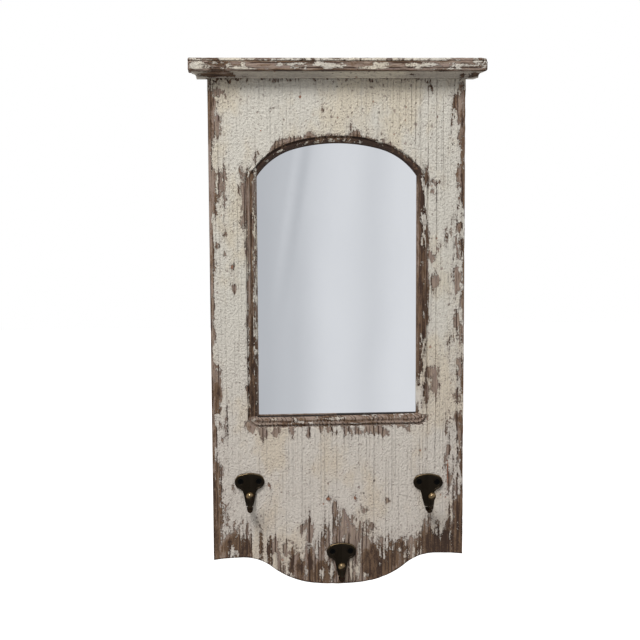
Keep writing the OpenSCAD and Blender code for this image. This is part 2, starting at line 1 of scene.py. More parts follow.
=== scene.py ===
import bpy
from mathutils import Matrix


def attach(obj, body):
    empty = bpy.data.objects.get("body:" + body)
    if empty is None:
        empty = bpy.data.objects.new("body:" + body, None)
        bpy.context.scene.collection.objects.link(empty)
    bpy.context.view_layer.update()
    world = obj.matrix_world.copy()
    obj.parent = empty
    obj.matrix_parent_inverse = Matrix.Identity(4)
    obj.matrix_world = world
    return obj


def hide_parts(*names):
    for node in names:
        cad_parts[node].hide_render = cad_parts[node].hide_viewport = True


bl_info = {
    "name": "Hall mirror",
    "version": (1, 0, 0),
    "blender": (4, 5, 0),
    "location": "3D View > Sidebar > Hall mirror",
    "description": "Finishes an arched wall mirror on a painted board with a crown and three cast coat hooks",
    "category": "Object",
}

import math
from contextlib import contextmanager
from types import SimpleNamespace

import bmesh
import bpy
import numpy as np
from bpy.props import FloatProperty, FloatVectorProperty, PointerProperty
from mathutils import Matrix, Vector, geometry, kdtree

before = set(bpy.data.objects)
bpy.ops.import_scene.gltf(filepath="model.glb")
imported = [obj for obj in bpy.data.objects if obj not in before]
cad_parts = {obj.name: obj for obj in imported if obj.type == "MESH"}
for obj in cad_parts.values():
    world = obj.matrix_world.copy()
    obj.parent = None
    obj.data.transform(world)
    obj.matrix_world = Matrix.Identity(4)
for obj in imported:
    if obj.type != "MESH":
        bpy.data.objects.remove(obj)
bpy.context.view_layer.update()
HANG_HEIGHT = 540.0  # height of the frame's origin above the board's lower corners, in millimetres


# ---------------------------------------------------------------- Settings
def length(name, default, description):
    """A length in metres."""
    return FloatProperty(
        name=name, default=default, description=description, unit="LENGTH", subtype="DISTANCE", precision=4,
    )


def angle(name, default, description):
    """An angle, given in degrees."""
    return FloatProperty(
        name=name, default=math.radians(default), description=description, unit="ROTATION", subtype="ANGLE",
    )


def share(name, default, description):
    """A plain number from 0 to 4."""
    return FloatProperty(name=name, default=default, description=description, min=0, max=4, subtype="FACTOR")


def colour(name, default, description):
    """A colour given as it looks on a screen, from 0 to 255, and kept as linear light."""
    return FloatVectorProperty(
        name=name, description=description, size=3, subtype="COLOR", min=0, max=1,
        default=[c / 255 / 12.92 if c <= 10 else ((c / 255 + 0.055) / 1.055) ** 2.4 for c in default],
    )


class BoardSizes(bpy.types.PropertyGroup):
    """Sizes of the board and its arched opening"""

    width: length("Width", 0.305, "Width of the board")
    thickness: length("Thickness", 0.019, "Thickness of the board")
    height: length("Height", 0.584, "Height of the board from its lower corners")
    belly_drop: length("Belly drop", 0.0335, "How far the belly hangs below the lower corners")
    belly_radius: length("Belly radius", 0.270, "Radius of the belly at the centre line")
    flank_radius: length("Flank radius", 0.100, "Radius of the flanks beside the belly")
    notch_radius: length("Notch radius", 0.056, "Radius of the hollows between flanks and shoulders")
    crest_in: length("Crest inset", 0.0355, "Distance of each shoulder's crest from the board's side")
    crest_rise: length("Crest rise", 0.0021, "Rise of the crests above the lower corners")
    stile: length("Stile", 0.057, "Width of the wood beside the opening")
    opening_foot: length("Opening foot", 0.176, "Height of the opening's lower edge above the lower corners")
    head: length("Head", 0.083, "Height of the wood above the arch")
    arch_radius: length("Arch radius", 0.195, "Radius of the arch's flat top")
    haunch_radius: length("Haunch radius", 0.079, "Radius of the arch's haunches")
    haunch_from: angle("Haunch start", 15, "Angle from the centre line at which the haunches begin")
    net: length("Net", 0.0018, "Distance between the points of the front face")
    arris: length("Arris", 0.0009, "Rounding of the board's worn front edges")


class BandSizes(bpy.types.PropertyGroup):
    """Sizes of the routed band and the pocket for the glass"""

    width: length("Band width", 0.0134, "Width of the routed band")
    depth: length("Band depth", 0.0074, "Depth of the routed band at the opening")
    ledge: length("Ledge", 0.0008, "Flat ledge beside the opening")
    cove: length("Cove", 0.0058, "Width of the cove beside the ledge")
    quirk: length("Groove depth", 0.0030, "Depth of the two grooves beside the bead")
    bead: length("Bead radius", 0.0015, "Radius of the bead")
    glass_depth: length("Glass depth", 0.0115, "Depth of the glass below the board's front")
    glass: length("Glass thickness", 0.003, "Thickness of the mirror glass")
    reach: length("Pocket reach", 0.0075, "How far the pocket reaches past the opening")
    corner: length("Pocket corner", 0.006, "Radius of the pocket's corners")
    gap: length("Glass gap", 0.0008, "Gap between the glass and the pocket's walls")


class CrownSizes(bpy.types.PropertyGroup):
    """Sizes of the crown cap and the cove moulding under it"""

    thickness: length("Cap thickness", 0.015, "Thickness of the crown cap")
    overhang: length("Overhang", 0.022, "How far the cap stands out past the board's front and sides")
    top_round: length("Upper rounding", 0.0022, "Rounding of the cap's upper edge")
    low_round: length("Lower rounding", 0.0016, "Wear of the cap's lower edge")
    groove: length("Groove", 0.0008, "Depth of the groove under the cap's bead")
    mould_out: length("Moulding foot", 0.0123, "How far the moulding's foot stands out")
    mould_cove: length("Moulding cove", 0.0052, "Radius of the moulding's cove")
    mould_fillet: length("Moulding fillet", 0.00115, "Height of the fillets above and below the cove")
    nail: length("Nail head", 0.00144, "Radius of the nail heads in the cap")


class HookSizes(bpy.types.PropertyGroup):
    """Sizes and places of the cast hooks"""

    plate: length("Plate", 0.003, "Thickness of the plate at its rim")
    pitch: length("Screw pitch", 0.0218, "Distance between a hook's screws")
    ear: length("Ear radius", 0.0092, "Radius of the plate's ears")
    ear_x: length("Ear offset", 0.0088, "Distance of the ears' centres from the plate's centre line")
    top: length("Top radius", 0.036, "Radius of the plate's top edge")
    waist: length("Waist radius", 0.0055, "Radius of the hollow under the ears")
    stem: length("Stem", 0.0076, "Half the stem's width below the plate")
    bend: length("Bend radius", 0.011, "Radius of the prong's bend")
    bend_drop: length("Bend drop", 0.0225, "Height of the bend's centre below the screws")
    ball_drop: length("Ball drop", 0.0124, "Height of the ball's centre below the screws")
    ball: length("Ball radius", 0.0046, "Radius of the ball")
    sunk_head: length("Screw head", 0.0031, "Radius of the countersunk screw heads")
    left_in: length("Left hook inset", 0.0444, "Distance of the left hook from the board's side")
    left_height: length("Left hook height", 0.0973, "Height of the left hook's screws")
    right_in: length("Right hook inset", 0.0436, "Distance of the right hook from the board's side")
    right_height: length("Right hook height", 0.0921, "Height of the right hook's screws")
    mid_x: length("Middle hook offset", 0.0028, "Distance of the middle hook from the centre line")
    mid_height: length("Middle hook height", 0.0084, "Height of the middle hook's screws")
    right_turn: angle("Right hook turn", -2, "Turn of the right hook, which sits a little crooked")
    grain: length("Casting grain", 0.0004, "Size of the smallest detail in the castings")


class PaintLook(bpy.types.PropertyGroup):
    """Colours and relief of the chipped paint and the wood under it"""

    cream: colour("Cream paint", (208, 203, 192), "Colour of the paint on the board")
    warm_cream: colour("Warm paint", (207, 197, 178), "Colour of the paint where it has yellowed")
    crown_cream: colour("Crown paint", (206, 200, 188), "Colour of the paint on the crown")
    # darker than the board's paint partly for dust and partly as painted shade under the cap
    grimy_cream: colour("Grimy paint", (176, 167, 154), "Colour of the dusty paint on the moulding")
    wood: colour("Bare wood", (138, 119, 111), "Colour of the weathered wood")
    pale_wood: colour("Pale wood", (166, 147, 128), "Colour of the wood's lighter grain")
    brown_wood: colour("Brown wood", (110, 85, 63), "Colour of the wood that weather has not reached")
    stain: colour("Stained wood", (54, 35, 23), "Colour of the dark stain left on the wood")
    rust: colour("Rusty marks", (144, 98, 74), "Colour of the rusty marks")
    relief: length("Paint relief", 0.0003, "Thickness of the paint over the bare wood")


class MetalLook(bpy.types.PropertyGroup):
    """Colours of the metal, glass and backing"""

    bronze: colour("Antique bronze", (33, 28, 22), "Colour of the hooks' dark finish")
    # the bright colour is both rubbed bronze and the painted highlight on the hooks
    rubbed: colour("Rubbed bronze", (152, 130, 98), "Colour of the bronze where it has worn bright")
    blackened: colour("Blackened steel", (4, 4, 4), "Colour of the hooks' screws")
    zinc: colour("Zinc", (190, 190, 186), "Colour of the plated steel")
    steel: colour("Nail steel", (104, 98, 92), "Colour of the nails")
    silver: colour("Silvering", (240, 242, 244), "Colour of the mirror's silvering")
    glass_edge: colour("Glass edge", (118, 148, 136), "Colour of the glass seen through its edge")
    card: colour("Card", (176, 150, 114), "Colour of the cushion sheet")
    hardboard: colour("Hardboard", (116, 82, 56), "Colour of the backing board")
    rubber: colour("Rubber", (44, 42, 40), "Colour of the wall pads")


class StageLook(bpy.types.PropertyGroup):
    """Lamps, background and camera"""

    lens: length("Lens", 0.07594, "Focal length of the camera")
    lamp: FloatProperty(name="Lamp power", default=84, description="Power of the main lamp", unit="POWER")
    room: share("Room light", 0.37, "Level of the even light from the room")
    floor_drop: length("Floor", 1.9, "Depth of the floor below the hanger pins")
    floor_grey: colour("Floor", (226, 225, 222), "Colour of the floor")
    curtain: colour("Curtain", (229, 230, 233), "Colour of the curtain that shows in the mirror")
    curtain_shade: colour("Curtain folds", (187, 189, 193), "Colour of the curtain's folds")


class HallMirror(bpy.types.PropertyGroup):
    """All settings of the hall mirror"""

    board: PointerProperty(type=BoardSizes)
    band: PointerProperty(type=BandSizes)
    crown: PointerProperty(type=CrownSizes)
    hook: PointerProperty(type=HookSizes)
    paint: PointerProperty(type=PaintLook)
    metal: PointerProperty(type=MetalLook)
    stage: PointerProperty(type=StageLook)


def in_mm(group):
    """The lengths of a group of settings, in millimetres."""
    lengths = [p.identifier for p in group.bl_rna.properties if getattr(p, "unit", "") == "LENGTH"]
    return SimpleNamespace(**{name: 1000 * getattr(group, name) for name in lengths})



# ---------------------------------------------------------------- Plane geometry, in millimetres
def arc(centre, radius, start, end, pitch, skip=0):
    """Points along an arc between two angles in degrees, about a pitch apart."""
    steps = max(2, math.ceil(abs(math.radians(end - start)) * radius / pitch))
    a = np.radians(np.linspace(start, end, steps + 1))[skip:]
    return np.stack([centre[0] + radius * np.cos(a), centre[1] + radius * np.sin(a)], 1)


def line(start, end, pitch, skip=0):
    """Points along a straight line, about a pitch apart."""
    steps = max(1, round(math.dist(start, end) / pitch))
    return np.linspace(start, end, steps + 1)[skip:]


def mirrored(half):
    """A closed loop from its right half, which starts and ends on the centre line."""
    return np.concatenate([half, (half * [-1, 1])[-2:0:-1]])


def outward(loop):
    """Mitred outward directions at the points of a closed anticlockwise loop."""
    ahead = np.roll(loop, -1, 0) - loop
    ahead /= np.linalg.norm(ahead, axis=1)[:, None]
    n_next = np.stack([ahead[:, 1], -ahead[:, 0]], 1)
    n_last = np.roll(n_next, 1, 0)
    return (n_next + n_last) / (1 + (n_next * n_last).sum(1))[:, None]


def inside(points, loops):
    """Which points lie within the first of some closed loops and outside the others."""
    x, y = points[:, 0], points[:, 1]
    keep = np.ones(len(points), bool)
    for number, loop in enumerate(loops):
        hit = np.zeros(len(points), bool)
        for (x0, y0), (x1, y1) in zip(loop, np.roll(loop, -1, 0)):
            if y0 != y1:
                hit ^= ((y0 > y) != (y1 > y)) & (x < (x1 - x0) * (y - y0) / (y1 - y0) + x0)
        keep &= ~hit if number else hit
    return keep


def nearest(points, targets):
    """Distance from each point to the nearest of some targets, and that target's number."""
    tree = kdtree.KDTree(len(targets))
    for k, (x, y) in enumerate(targets):
        tree.insert((x, y, 0), k)
    tree.balance()
    found = [tree.find((x, y, 0)) for x, y in points]
    return np.array([f[2] for f in found]), [f[1] for f in found]


def fill_flat(loops, pitch, lines=()):
    """Points and triangles of a flat face: the first loop is its outside and the others are holes.
    Each of lines is (x, low, high, half-width): a straight groove, with columns of points of its own."""
    (left, low), (right, high) = loops[0].min(0), loops[0].max(0)
    net = []
    for k, y in enumerate(np.arange(low, high, pitch * 0.866)):
        x = np.arange(left + (k % 2) * pitch / 2, right, pitch)
        net.append(np.stack([x, np.full(len(x), y)], 1))
    net = np.concatenate(net)
    for x, start, end, half in lines:
        taken = (abs(net[:, 0] - x) < half + 0.6 * pitch) & (net[:, 1] > start) & (net[:, 1] < end)
        heights = np.arange(start, end, pitch)
        columns = [np.stack([0 * heights + x + s * half, heights], 1) for s in (-1, 0, 1)]
        net = np.concatenate([net[~taken]] + columns)
    net = net[inside(net, loops)]
    edge = np.concatenate(loops)
    net = net[nearest(net, edge)[0] > 0.55 * pitch]
    edges, first = [], 0
    for loop in loops:
        edges += [(first + k, first + (k + 1) % len(loop)) for k in range(len(loop))]
        first += len(loop)
    points = [Vector(p) for p in np.concatenate([edge, net])]
    made = geometry.delaunay_2d_cdt(points, edges, [], 1, 1e-7)
    points, faces = np.array(made[0]), np.array(made[2])
    return points, faces[inside(points[faces].mean(1), loops)]


# ---------------------------------------------------------------- Noise
def scatter(i, j, seed):
    """A fixed number between 0 and 1 for each whole-number place."""
    h = (i * 73856093 ^ j * 19349663 ^ seed * 83492791) & 0xFFFFFFFF
    h = ((h ^ (h >> 13)) * 1274126177) & 0xFFFFFFFF
    return ((h ^ (h >> 16)) & 0xFFFF) / 65535


def mottle(x, y, seed):
    """Smooth noise from -1 to 1 whose patches are about one unit wide."""
    i, j = np.floor(x).astype(np.int64), np.floor(y).astype(np.int64)
    u, v = x - i, y - j
    u, v = u * u * (3 - 2 * u), v * v * (3 - 2 * v)
    low = scatter(i, j, seed) * (1 - u) + scatter(i + 1, j, seed) * u
    high = scatter(i, j + 1, seed) * (1 - u) + scatter(i + 1, j + 1, seed) * u
    return 2 * (low * (1 - v) + high * v) - 1


def cloud(x, y, seed):
    """Noise from -1 to 1 in three sizes of patch, the largest about one unit wide."""
    return sum(mottle(x * 2**k, y * 2**k, seed + 17 * k) / 2**k for k in range(3)) / 1.75


def ease(value, low, high):
    """Eases from 0 to 1 as a value goes from low to high."""
    t = np.clip((value - low) / (high - low), 0, 1)
    return t * t * (3 - 2 * t)


def along(value, table):
    """Straight lines between the levels that a table gives at some places."""
    return np.interp(value, *np.array(table).T)


# ---------------------------------------------------------------- Meshes
def at_depth(points, out):
    """A row of points in a skin from plane ones and one distance out."""
    return np.column_stack([points, np.full(len(points), out)])


def in_frame(p):
    """Points of the scene, in metres, from a skin's."""
    return np.stack([p[:, 0], -p[:, 2], p[:, 1] - HANG_HEIGHT], 1) / 1000


class Skin:
    """Points and faces gathered for one mesh. Points are (x, height above the board's lower corners,
    distance out from its back) in millimetres."""

    def __init__(self):
        self.points, self.faces, self.count = [], [], 0

    def add(self, points, faces):
        """Adds points and the faces between them."""
        self.points.append(np.asarray(points, float))
        self.faces += [[self.count + k for k in face] for face in faces]
        self.count += len(points)

    def flat(self, loops, pitch, out, lines=()):
        """Adds a flat face at one distance out."""
        points, faces = fill_flat(loops, pitch, lines)
        self.add(at_depth(points, out), faces.tolist())

    def lid(self, row):
        """Adds one face over a closed row of points."""
        self.add(row, [list(range(len(row)))])

    def sheet(self, rows, closed=False):
        """Adds four-sided faces over a grid of points. The rows are of equal length, and may be closed."""
        grid = np.asarray(rows, float)
        n, m = grid.shape[:2]
        faces = [
            (r * m + c, r * m + (c + 1) % m, (r + 1) * m + (c + 1) % m, (r + 1) * m + c)
            for r in range(n - 1) for c in range(m if closed else m - 1)
        ]
        self.add(grid.reshape(-1, 3), faces)

    def solid(self, rows):
        """Adds a body of closed rows with a face at either end."""
        self.sheet(rows, closed=True)
        self.lid(rows[0])
        self.lid(rows[-1])

    def mesh(self, name):
        """One closed mesh in the scene's place, in metres, with its faces turned outward."""
        mesh = bpy.data.meshes.new(name)
        mesh.from_pydata(in_frame(np.concatenate(self.points)).tolist(), [], self.faces)
        with edited(mesh) as work:
            bmesh.ops.remove_doubles(work, verts=work.verts, dist=1e-6)
            bmesh.ops.dissolve_degenerate(work, edges=work.edges, dist=1e-6)
            bmesh.ops.recalc_face_normals(work, faces=work.faces)
        return mesh


def new_object(name, data):
    """A new object in the scene."""
    made = bpy.data.objects.new(name, data)
    bpy.context.scene.collection.objects.link(made)
    return made


@contextmanager
def edited(mesh):
    """A mesh opened for editing."""
    work = bmesh.new()
    work.from_mesh(mesh)
    yield work
    work.to_mesh(mesh)
    work.free()


def vertex_values(vertices, name):
    """Vectors kept at a mesh's points, as rows."""
    values = np.empty(len(vertices) * 3, np.float32)
    vertices.foreach_get(name, values)
    return values.reshape(-1, 3).astype(float)


def places(mesh):
    """A mesh's points as a skin has them."""
    co = vertex_values(mesh.vertices, "co") * 1000
    return np.stack([co[:, 0], co[:, 2] + HANG_HEIGHT, -co[:, 1]], 1)


def wear_away(mesh, amount):
    """Moves a mesh's points inward by an amount for each, in millimetres."""
    no = vertex_values(mesh.vertex_normals, "vector")
    n = np.stack([no[:, 0], no[:, 2], -no[:, 1]], 1)
    p = places(mesh) - n * np.maximum(amount, 0)[:, None]
    mesh.vertices.foreach_set("co", in_frame(p).ravel())
    mesh.update()


def keep_values(mesh, **values):
    """Stores numbers on a mesh's points, for its material to read."""
    for name, value in values.items():
        kept = mesh.attributes.new(name, "FLOAT", "POINT")
        kept.data.foreach_set("value", np.asarray(value, np.float32))


def set_up(name, mesh, materials, node, sharp=35):
    """Puts a finished mesh in the scene as a piece of the board that stands for a CAD node."""
    mesh.shade_smooth()
    mesh.set_sharp_from_angle(angle=math.radians(sharp))
    for material in materials:
        mesh.materials.append(material)
    piece = new_object(name, mesh)
    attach(piece, "board")
    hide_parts(node)


def finish_node(name, material, sharp=None):
    """Gives a CAD node its material, and smooth shading up to an angle in degrees."""
    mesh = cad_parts[name].data
    mesh.materials.clear()
    mesh.materials.append(material)
    for face in mesh.polygons:
        face.material_index = 0
    if sharp:
        mesh.shade_smooth()
        mesh.set_sharp_from_angle(angle=math.radians(sharp))


# ---------------------------------------------------------------- Shader building
# Heights between which the look changes, in millimetres from the frame's origin
UNDER_OPENING = (-365.0, -395.0)
TOWARDS_FOOT = (-180.0, -480.0)

# Colours as linear light
BLACK_STAIN_AND_SHADE = (0.008, 0.006, 0.005)
METAL_DIRT = (0.01, 0.008, 0.006)
DULLER = (0.985, 0.945, 0.955)
# painted shade for the hollows of the paint's relief
HOLLOW_SHADE = (0.30, 0.265, 0.225)
# painted shade along the grooves in the paint
GROOVE_SHADE = (0.22, 0.19, 0.165)


class Signal:
    """A value in a node tree. Signs and methods add the nodes that work out new values from it."""

    def __init__(self, tree, socket):
        self.tree, self.socket = tree, socket

    def math(self, operation, *others, clamp=False):
        """The value changed by a math node, by itself or together with others."""
        inputs = dict(enumerate((self, *others)))
        return put(self.tree, "Math", inputs, operation=operation, use_clamp=clamp)[0]

    def __add__(self, other):
        return self.math("ADD", other)

    def __sub__(self, other):
        return self.math("SUBTRACT", other)

    def __mul__(self, other):
        return self.math("MULTIPLY", other)

    def __gt__(self, other):
        return self.math("GREATER_THAN", other)

    def __abs__(self):
        return self.math("ABSOLUTE")

    def rest(self):
        """What the value lacks of 1."""
        return put(self.tree, "Math", {0: 1.0, 1: self}, operation="SUBTRACT")[0]

    def between(self, low, high, start=0.0, end=1.0):
        """Eases from start to end as the value goes from low to high."""
        inputs = {"Value": self, "From Min": low, "From Max": high, "To Min": start, "To Max": end}
        return put(self.tree, "MapRange", inputs, interpolation_type="SMOOTHSTEP")[0]


class Outputs:
    """A node's outputs as signals, found by name or number."""

    def __init__(self, tree, sockets):
        self.tree, self.sockets = tree, sockets

    def __getitem__(self, key):
        return Signal(self.tree, self.sockets[key])


def connect(sockets, values):
    """Wires signals to sockets, found by name or number, and sets plain numbers and colours on them."""
    for key, value in values.items():
        socket = sockets[key]
        if isinstance(value, Signal):
            value.tree.links.new(value.socket, socket)
        elif socket.type == "RGBA":
            socket.default_value = (*value[:3], 1)
        else:
            socket.default_value = value


def add_node(tree, kind, inputs, **settings):
    """A new node, set and with its inputs connected."""
    node = tree.nodes.new("ShaderNode" + kind)
    for name, value in settings.items():
        setattr(node, name, value)
    connect(node.inputs, inputs)
    return node


def put(tree, kind, inputs, **settings):
    """The outputs of a new node."""
    return Outputs(tree, add_node(tree, kind, inputs, **settings).outputs)


def blend(amount, a, b, mode="MIX"):
    """A colour that goes from a to b as an amount goes from 0 to 1."""
    return put(amount.tree, "Mix", {0: amount, 6: a, 7: b}, data_type="RGBA", blend_type=mode)[2]


def stretch(vector, scale):
    """A vector multiplied along each axis."""
    return put(vector.tree, "VectorMath", {0: vector, 1: scale}, operation="MULTIPLY")[0]


def noise(vector, scale, detail=2.0, roughness=0.5, distortion=0.0, along=1.0):
    """Noise at a place, drawn out along the third axis where along is less than 1."""
    if along != 1:
        vector = stretch(vector, (1, 1, along))
    inputs = {"Vector": vector, "Scale": scale, "Detail": detail, "Roughness": roughness}
    return put(vector.tree, "TexNoise", inputs | {"Distortion": distortion})["Fac"]


def cells(vector, scale, randomness=1.0):
    """Distance to the nearest of some scattered points, and three numbers by chance for each of them."""
    made = put(vector.tree, "TexVoronoi", {"Vector": vector, "Scale": scale, "Randomness": randomness})
    return made["Distance"], put(vector.tree, "SeparateColor", {0: made["Color"]})


def bump(height):
    """A normal from a height in millimetres."""
    return put(height.tree, "Bump", {"Height": height, "Strength": 1.0, "Distance": 0.001})[0]


def attribute(tree, name):
    """A number kept on a mesh's points."""
    return put(tree, "Attribute", {}, attribute_name=name)["Fac"]


def new_group(name, colours, numbers, outputs):
    """The inputs and outputs of a new shader group that takes Place, some colours and some numbers. The
    kind of socket is given for each output."""
    group = bpy.data.node_groups.new(name, "ShaderNodeTree")
    inputs = {"Place": "Vector"} | dict.fromkeys(colours, "Color") | dict.fromkeys(numbers, "Float")
    for way, sockets in (("INPUT", inputs), ("OUTPUT", outputs)):
        for label, kind in sockets.items():
            group.interface.new_socket(name=label, in_out=way, socket_type="NodeSocket" + kind)
    given = Outputs(group, group.nodes.new("NodeGroupInput").outputs)
    return given, group.nodes.new("NodeGroupOutput").inputs


def use(tree, group, inputs):
    """The outputs of a shader group at work."""
    return put(tree, "Group", inputs, node_tree=bpy.data.node_groups[group])


def empty_tree(owner):
    """The node tree of a material or world, with nothing in it."""
    owner.use_nodes = True
    owner.node_tree.nodes.clear()
    return owner.node_tree


def new_material(name):
    """A material, its principled shader's inputs, and the place on the object in millimetres."""
    material = bpy.data.materials.new(name)
    tree = empty_tree(material)
    shader = add_node(tree, "BsdfPrincipled", {})
    add_node(tree, "OutputMaterial", {0: Signal(tree, shader.outputs[0])})
    return material, shader.inputs, stretch(put(tree, "TexCoord", {})["Object"], (1000, 1000, 1000))


def group_wood_grain():
    """Colour and relief of bare wood whose grain runs along the third axis. Stained goes from 0, the
    weathered grey, through 0.5, brown, to 1, nearly black. From 1.6 to 2.6 it goes on to black, which
    paints the shade in the corner above the opening's foot as well as the darkest stains."""
    given, out = new_group(
        "Wood grain", ("Pale", "Wood", "Brown", "Stain"), ("Stained",), {"Colour": "Color", "Height": "Float"}
    )
    place, stained = given["Place"], given["Stained"]
    streak = noise(place, 0.34, 4, 0.6, 0.2, along=0.035)
    fibre = noise(place, 1.5, 3, 0.6, along=0.025)
    dark = stained + (noise(place, 0.09, 4, 0.6, along=0.3) - 0.5) * 0.9
    wood = blend(fibre.between(0.38, 0.66), given["Wood"], given["Pale"])
    wood = blend((dark + (streak - 0.5) * 1.1).between(0.12, 0.5), wood, given["Brown"])
    wood = blend((streak - dark * 0.16).between(0.52, 0.62, 0.0, 0.5), wood, given["Pale"])
    wood = blend((dark - (streak - 0.5) * 1.3).between(0.5, 1.0), wood, given["Stain"])
    wood = blend((fibre + stained * 0.05).between(0.55, 0.66, 0.0, 0.8), wood, given["Stain"])
    # black past a stained value of 1.6: the darkest stains, and the painted shade in the corner above the
    # opening's foot
    wood = blend(stained.between(1.6, 2.6), wood, BLACK_STAIN_AND_SHADE)
    connect(out, {"Colour": wood, "Height": streak * 0.9 + fibre * -0.5})


def group_chipped_paint():
    """Thick brushed paint over grained wood. Bare is the distance in millimetres by which a place lies
    beyond the edge of the paint, and the edge is torn along the grain."""
    given, out = new_group(
        "Chipped paint", ("Paint", "Warm paint", "Pale wood", "Wood", "Brown wood", "Stain", "Rust"),
        ("Bare", "Stained", "Rusty", "Torn", "Groove", "Pits"),
        {"Colour": "Color", "Roughness": "Float", "Height": "Float"},
    )
    group, place = given.tree, given["Place"]
    strand = noise(place, 0.55, 2, along=0.07)
    nibble = noise(place, 0.55, 5, 0.68, along=0.75) - 0.5
    tear = noise(place, 0.17, 4, 0.62, 0.5, along=0.34) - 0.5 + (strand - 0.5) * 0.45 + nibble * 0.85

    # straight grooves that the soft grain leaves in the paint, in some places none, and deepest under
    # the opening
    axes = put(group, "SeparateXYZ", {0: place})
    drift = noise(place, 0.06, 1.0, along=0.02)
    order = (axes[0] + axes[1] * 1.7) * 0.215 + drift * 2.2
    which = put(group, "TexWhiteNoise", {"W": order.math("FLOOR")}, noise_dimensions="1D")["Value"]
    run = put(group, "CombineXYZ", {0: which * 90.0, 1: axes[2] * 0.011, 2: 0.0})[0]
    low = axes[2].between(*UNDER_OPENING)
    kept = noise(run, 1.0, 3, 0.6).between(0.42, 0.62).math("MAXIMUM", low * 0.12)
    off = abs(order.math("FRACT") - 0.5)
    groove = off.between(0.27, 0.04) * (kept * (given["Groove"] * low.math("MULTIPLY_ADD", 0.35, 1.0)))

    ragged = given["Torn"] * given["Bare"].between(-7.0, -1.5, 0.12, 1.0)
    field = given["Bare"] + tear * ragged + groove * 0.9
    bare = field.between(-0.22, 0.22)
    painted = bare.rest()

    # chips, some down to the wood and some rusty, and smaller flecks
    old = noise(place, 0.018, 4, 0.62, along=0.55)
    often = (given["Pits"] * old.between(0.40, 0.6, 0.3, 1.9)).rest()
    distance, chance = cells(stretch(place, (1, 1, 0.8)), 0.16)
    near = distance + nibble * 0.5 - (chance[2] * 0.12 + 0.12)
    pit = (chance[0] > often) * near.between(0.03, -0.04)
    distance, small_chance = cells(place, 0.37)
    fleck = (small_chance[1] > often) * (distance + nibble * 0.5).between(0.36, 0.22)

    plaster = noise(place, 0.42, 4, 0.56, along=0.85)
    paint = blend(old.between(0.44, 0.62), given["Paint"], given["Warm paint"])
    paint = blend(axes[2].between(*TOWARDS_FOOT), paint, DULLER, "MULTIPLY")
    # painted shade: the paint is darkened in the hollows of its relief
    paint = blend(plaster.between(0.32, 0.54, 0.36, 0.0), paint, HOLLOW_SHADE)
    paint = blend(field.between(-3.0, -0.1, 0.0, 0.22), paint, given["Wood"])
    # painted shade: the paint is darkened along its grooves
    paint = blend(groove * 0.24, paint, GROOVE_SHADE)
    paint = blend(fleck * 0.6, paint, given["Wood"])
    deep = blend(chance[1].between(0.86, 0.9), given["Stain"], given["Rust"])
    paint = blend(pit * 0.72, paint, blend(chance[1].between(0.4, 0.46), given["Wood"], deep))
    wood = use(group, "Wood grain", {
        "Place": place, "Pale": given["Pale wood"], "Wood": given["Wood"], "Brown": given["Brown wood"],
        "Stain": given["Stain"], "Stained": given["Stained"] + tear * 1.1,
    })
    # painted shadow: the wood is darkened just beside the broken edge of the paint, as shade under that edge,
    # and painted shade darkens it along the open grain
    edge_shadow = field.between(0.15, 1.1, 0.35, 0.0)
    grain = off.between(0.2, 0.05) * kept.between(0.2, 0.5, 0.2, 1.0)
    shaded_wood = blend(edge_shadow.math("MAXIMUM", grain), wood["Colour"], given["Stain"])
    rusty = (given["Rusty"] + nibble * 0.9).between(0.42, 0.6)

    height = painted * 0.36 + plaster * painted * 2.3 + (nibble + 0.5) * painted * 0.5
    height = height + noise(place, 0.06, 3, 0.6, along=0.4) * 0.8 - groove * painted * 0.3
    height = height - pit.math("MAXIMUM", fleck * 0.6) * 0.55 + wood["Height"] * bare * 1.6
    connect(out, {
        "Colour": blend(rusty, blend(bare, paint, shaded_wood), given["Rust"]),
        "Roughness": painted.between(0.0, 1.0, 0.82, 0.62), "Height": height,
    })


def group_metal_wear():
    """Tone, roughness and relief of metal whose edges are worn bright."""
    given, out = new_group(
        "Metal wear", ("Finish", "Bright"), ("Edge", "Grain size", "Low roughness", "High roughness"),
        {"Colour": "Color", "Roughness": "Float", "Height": "Float"},
    )
    patch = noise(given["Place"], given["Grain size"] * 0.35, 4, 0.6)
    fine = noise(given["Place"], given["Grain size"] * 2.2, 3, 0.55)
    rubbed = (given["Edge"] + (patch - 0.5) * 0.35).between(0.55, 0.85)
    tone = blend(patch.between(0.35, 0.7, 0.0, 0.35), given["Finish"], given["Bright"])
    tone = blend(rubbed, tone, given["Bright"])
    connect(out, {
        "Colour": blend(fine.between(0.55, 0.75, 0.0, 0.4), tone, METAL_DIRT),
        "Roughness": patch.between(0.3, 0.7, given["Low roughness"], given["High roughness"]),
        "Height": patch * 0.12 + fine * 0.03,
    })


def painted_wood(name, grain, torn, groove, pits, cream):
    """Chipped paint on a piece whose grain runs along X or Z, with bare, stained and rusty values."""
    look = bpy.context.scene.hall_mirror.paint
    material, shader, place = new_material(name)
    tree = place.tree
    if grain == "X":
        axes = put(tree, "SeparateXYZ", {0: place})
        place = put(tree, "CombineXYZ", {0: axes[2], 1: axes[1], 2: axes[0]})[0]
    paint = use(tree, "Chipped paint", {
        "Place": place, "Bare": attribute(tree, "bare"), "Stained": attribute(tree, "stained"),
        "Rusty": attribute(tree, "rusty"), "Paint": cream, "Warm paint": look.warm_cream,
        "Pale wood": look.pale_wood, "Wood": look.wood, "Brown wood": look.brown_wood, "Stain": look.stain,
        "Rust": look.rust, "Torn": torn, "Groove": groove, "Pits": pits,
    })
    connect(shader, {
        "Base Color": paint["Colour"], "Roughness": paint["Roughness"], "Normal": bump(paint["Height"]),
        "Specular IOR Level": 0.35,
    })
    return material


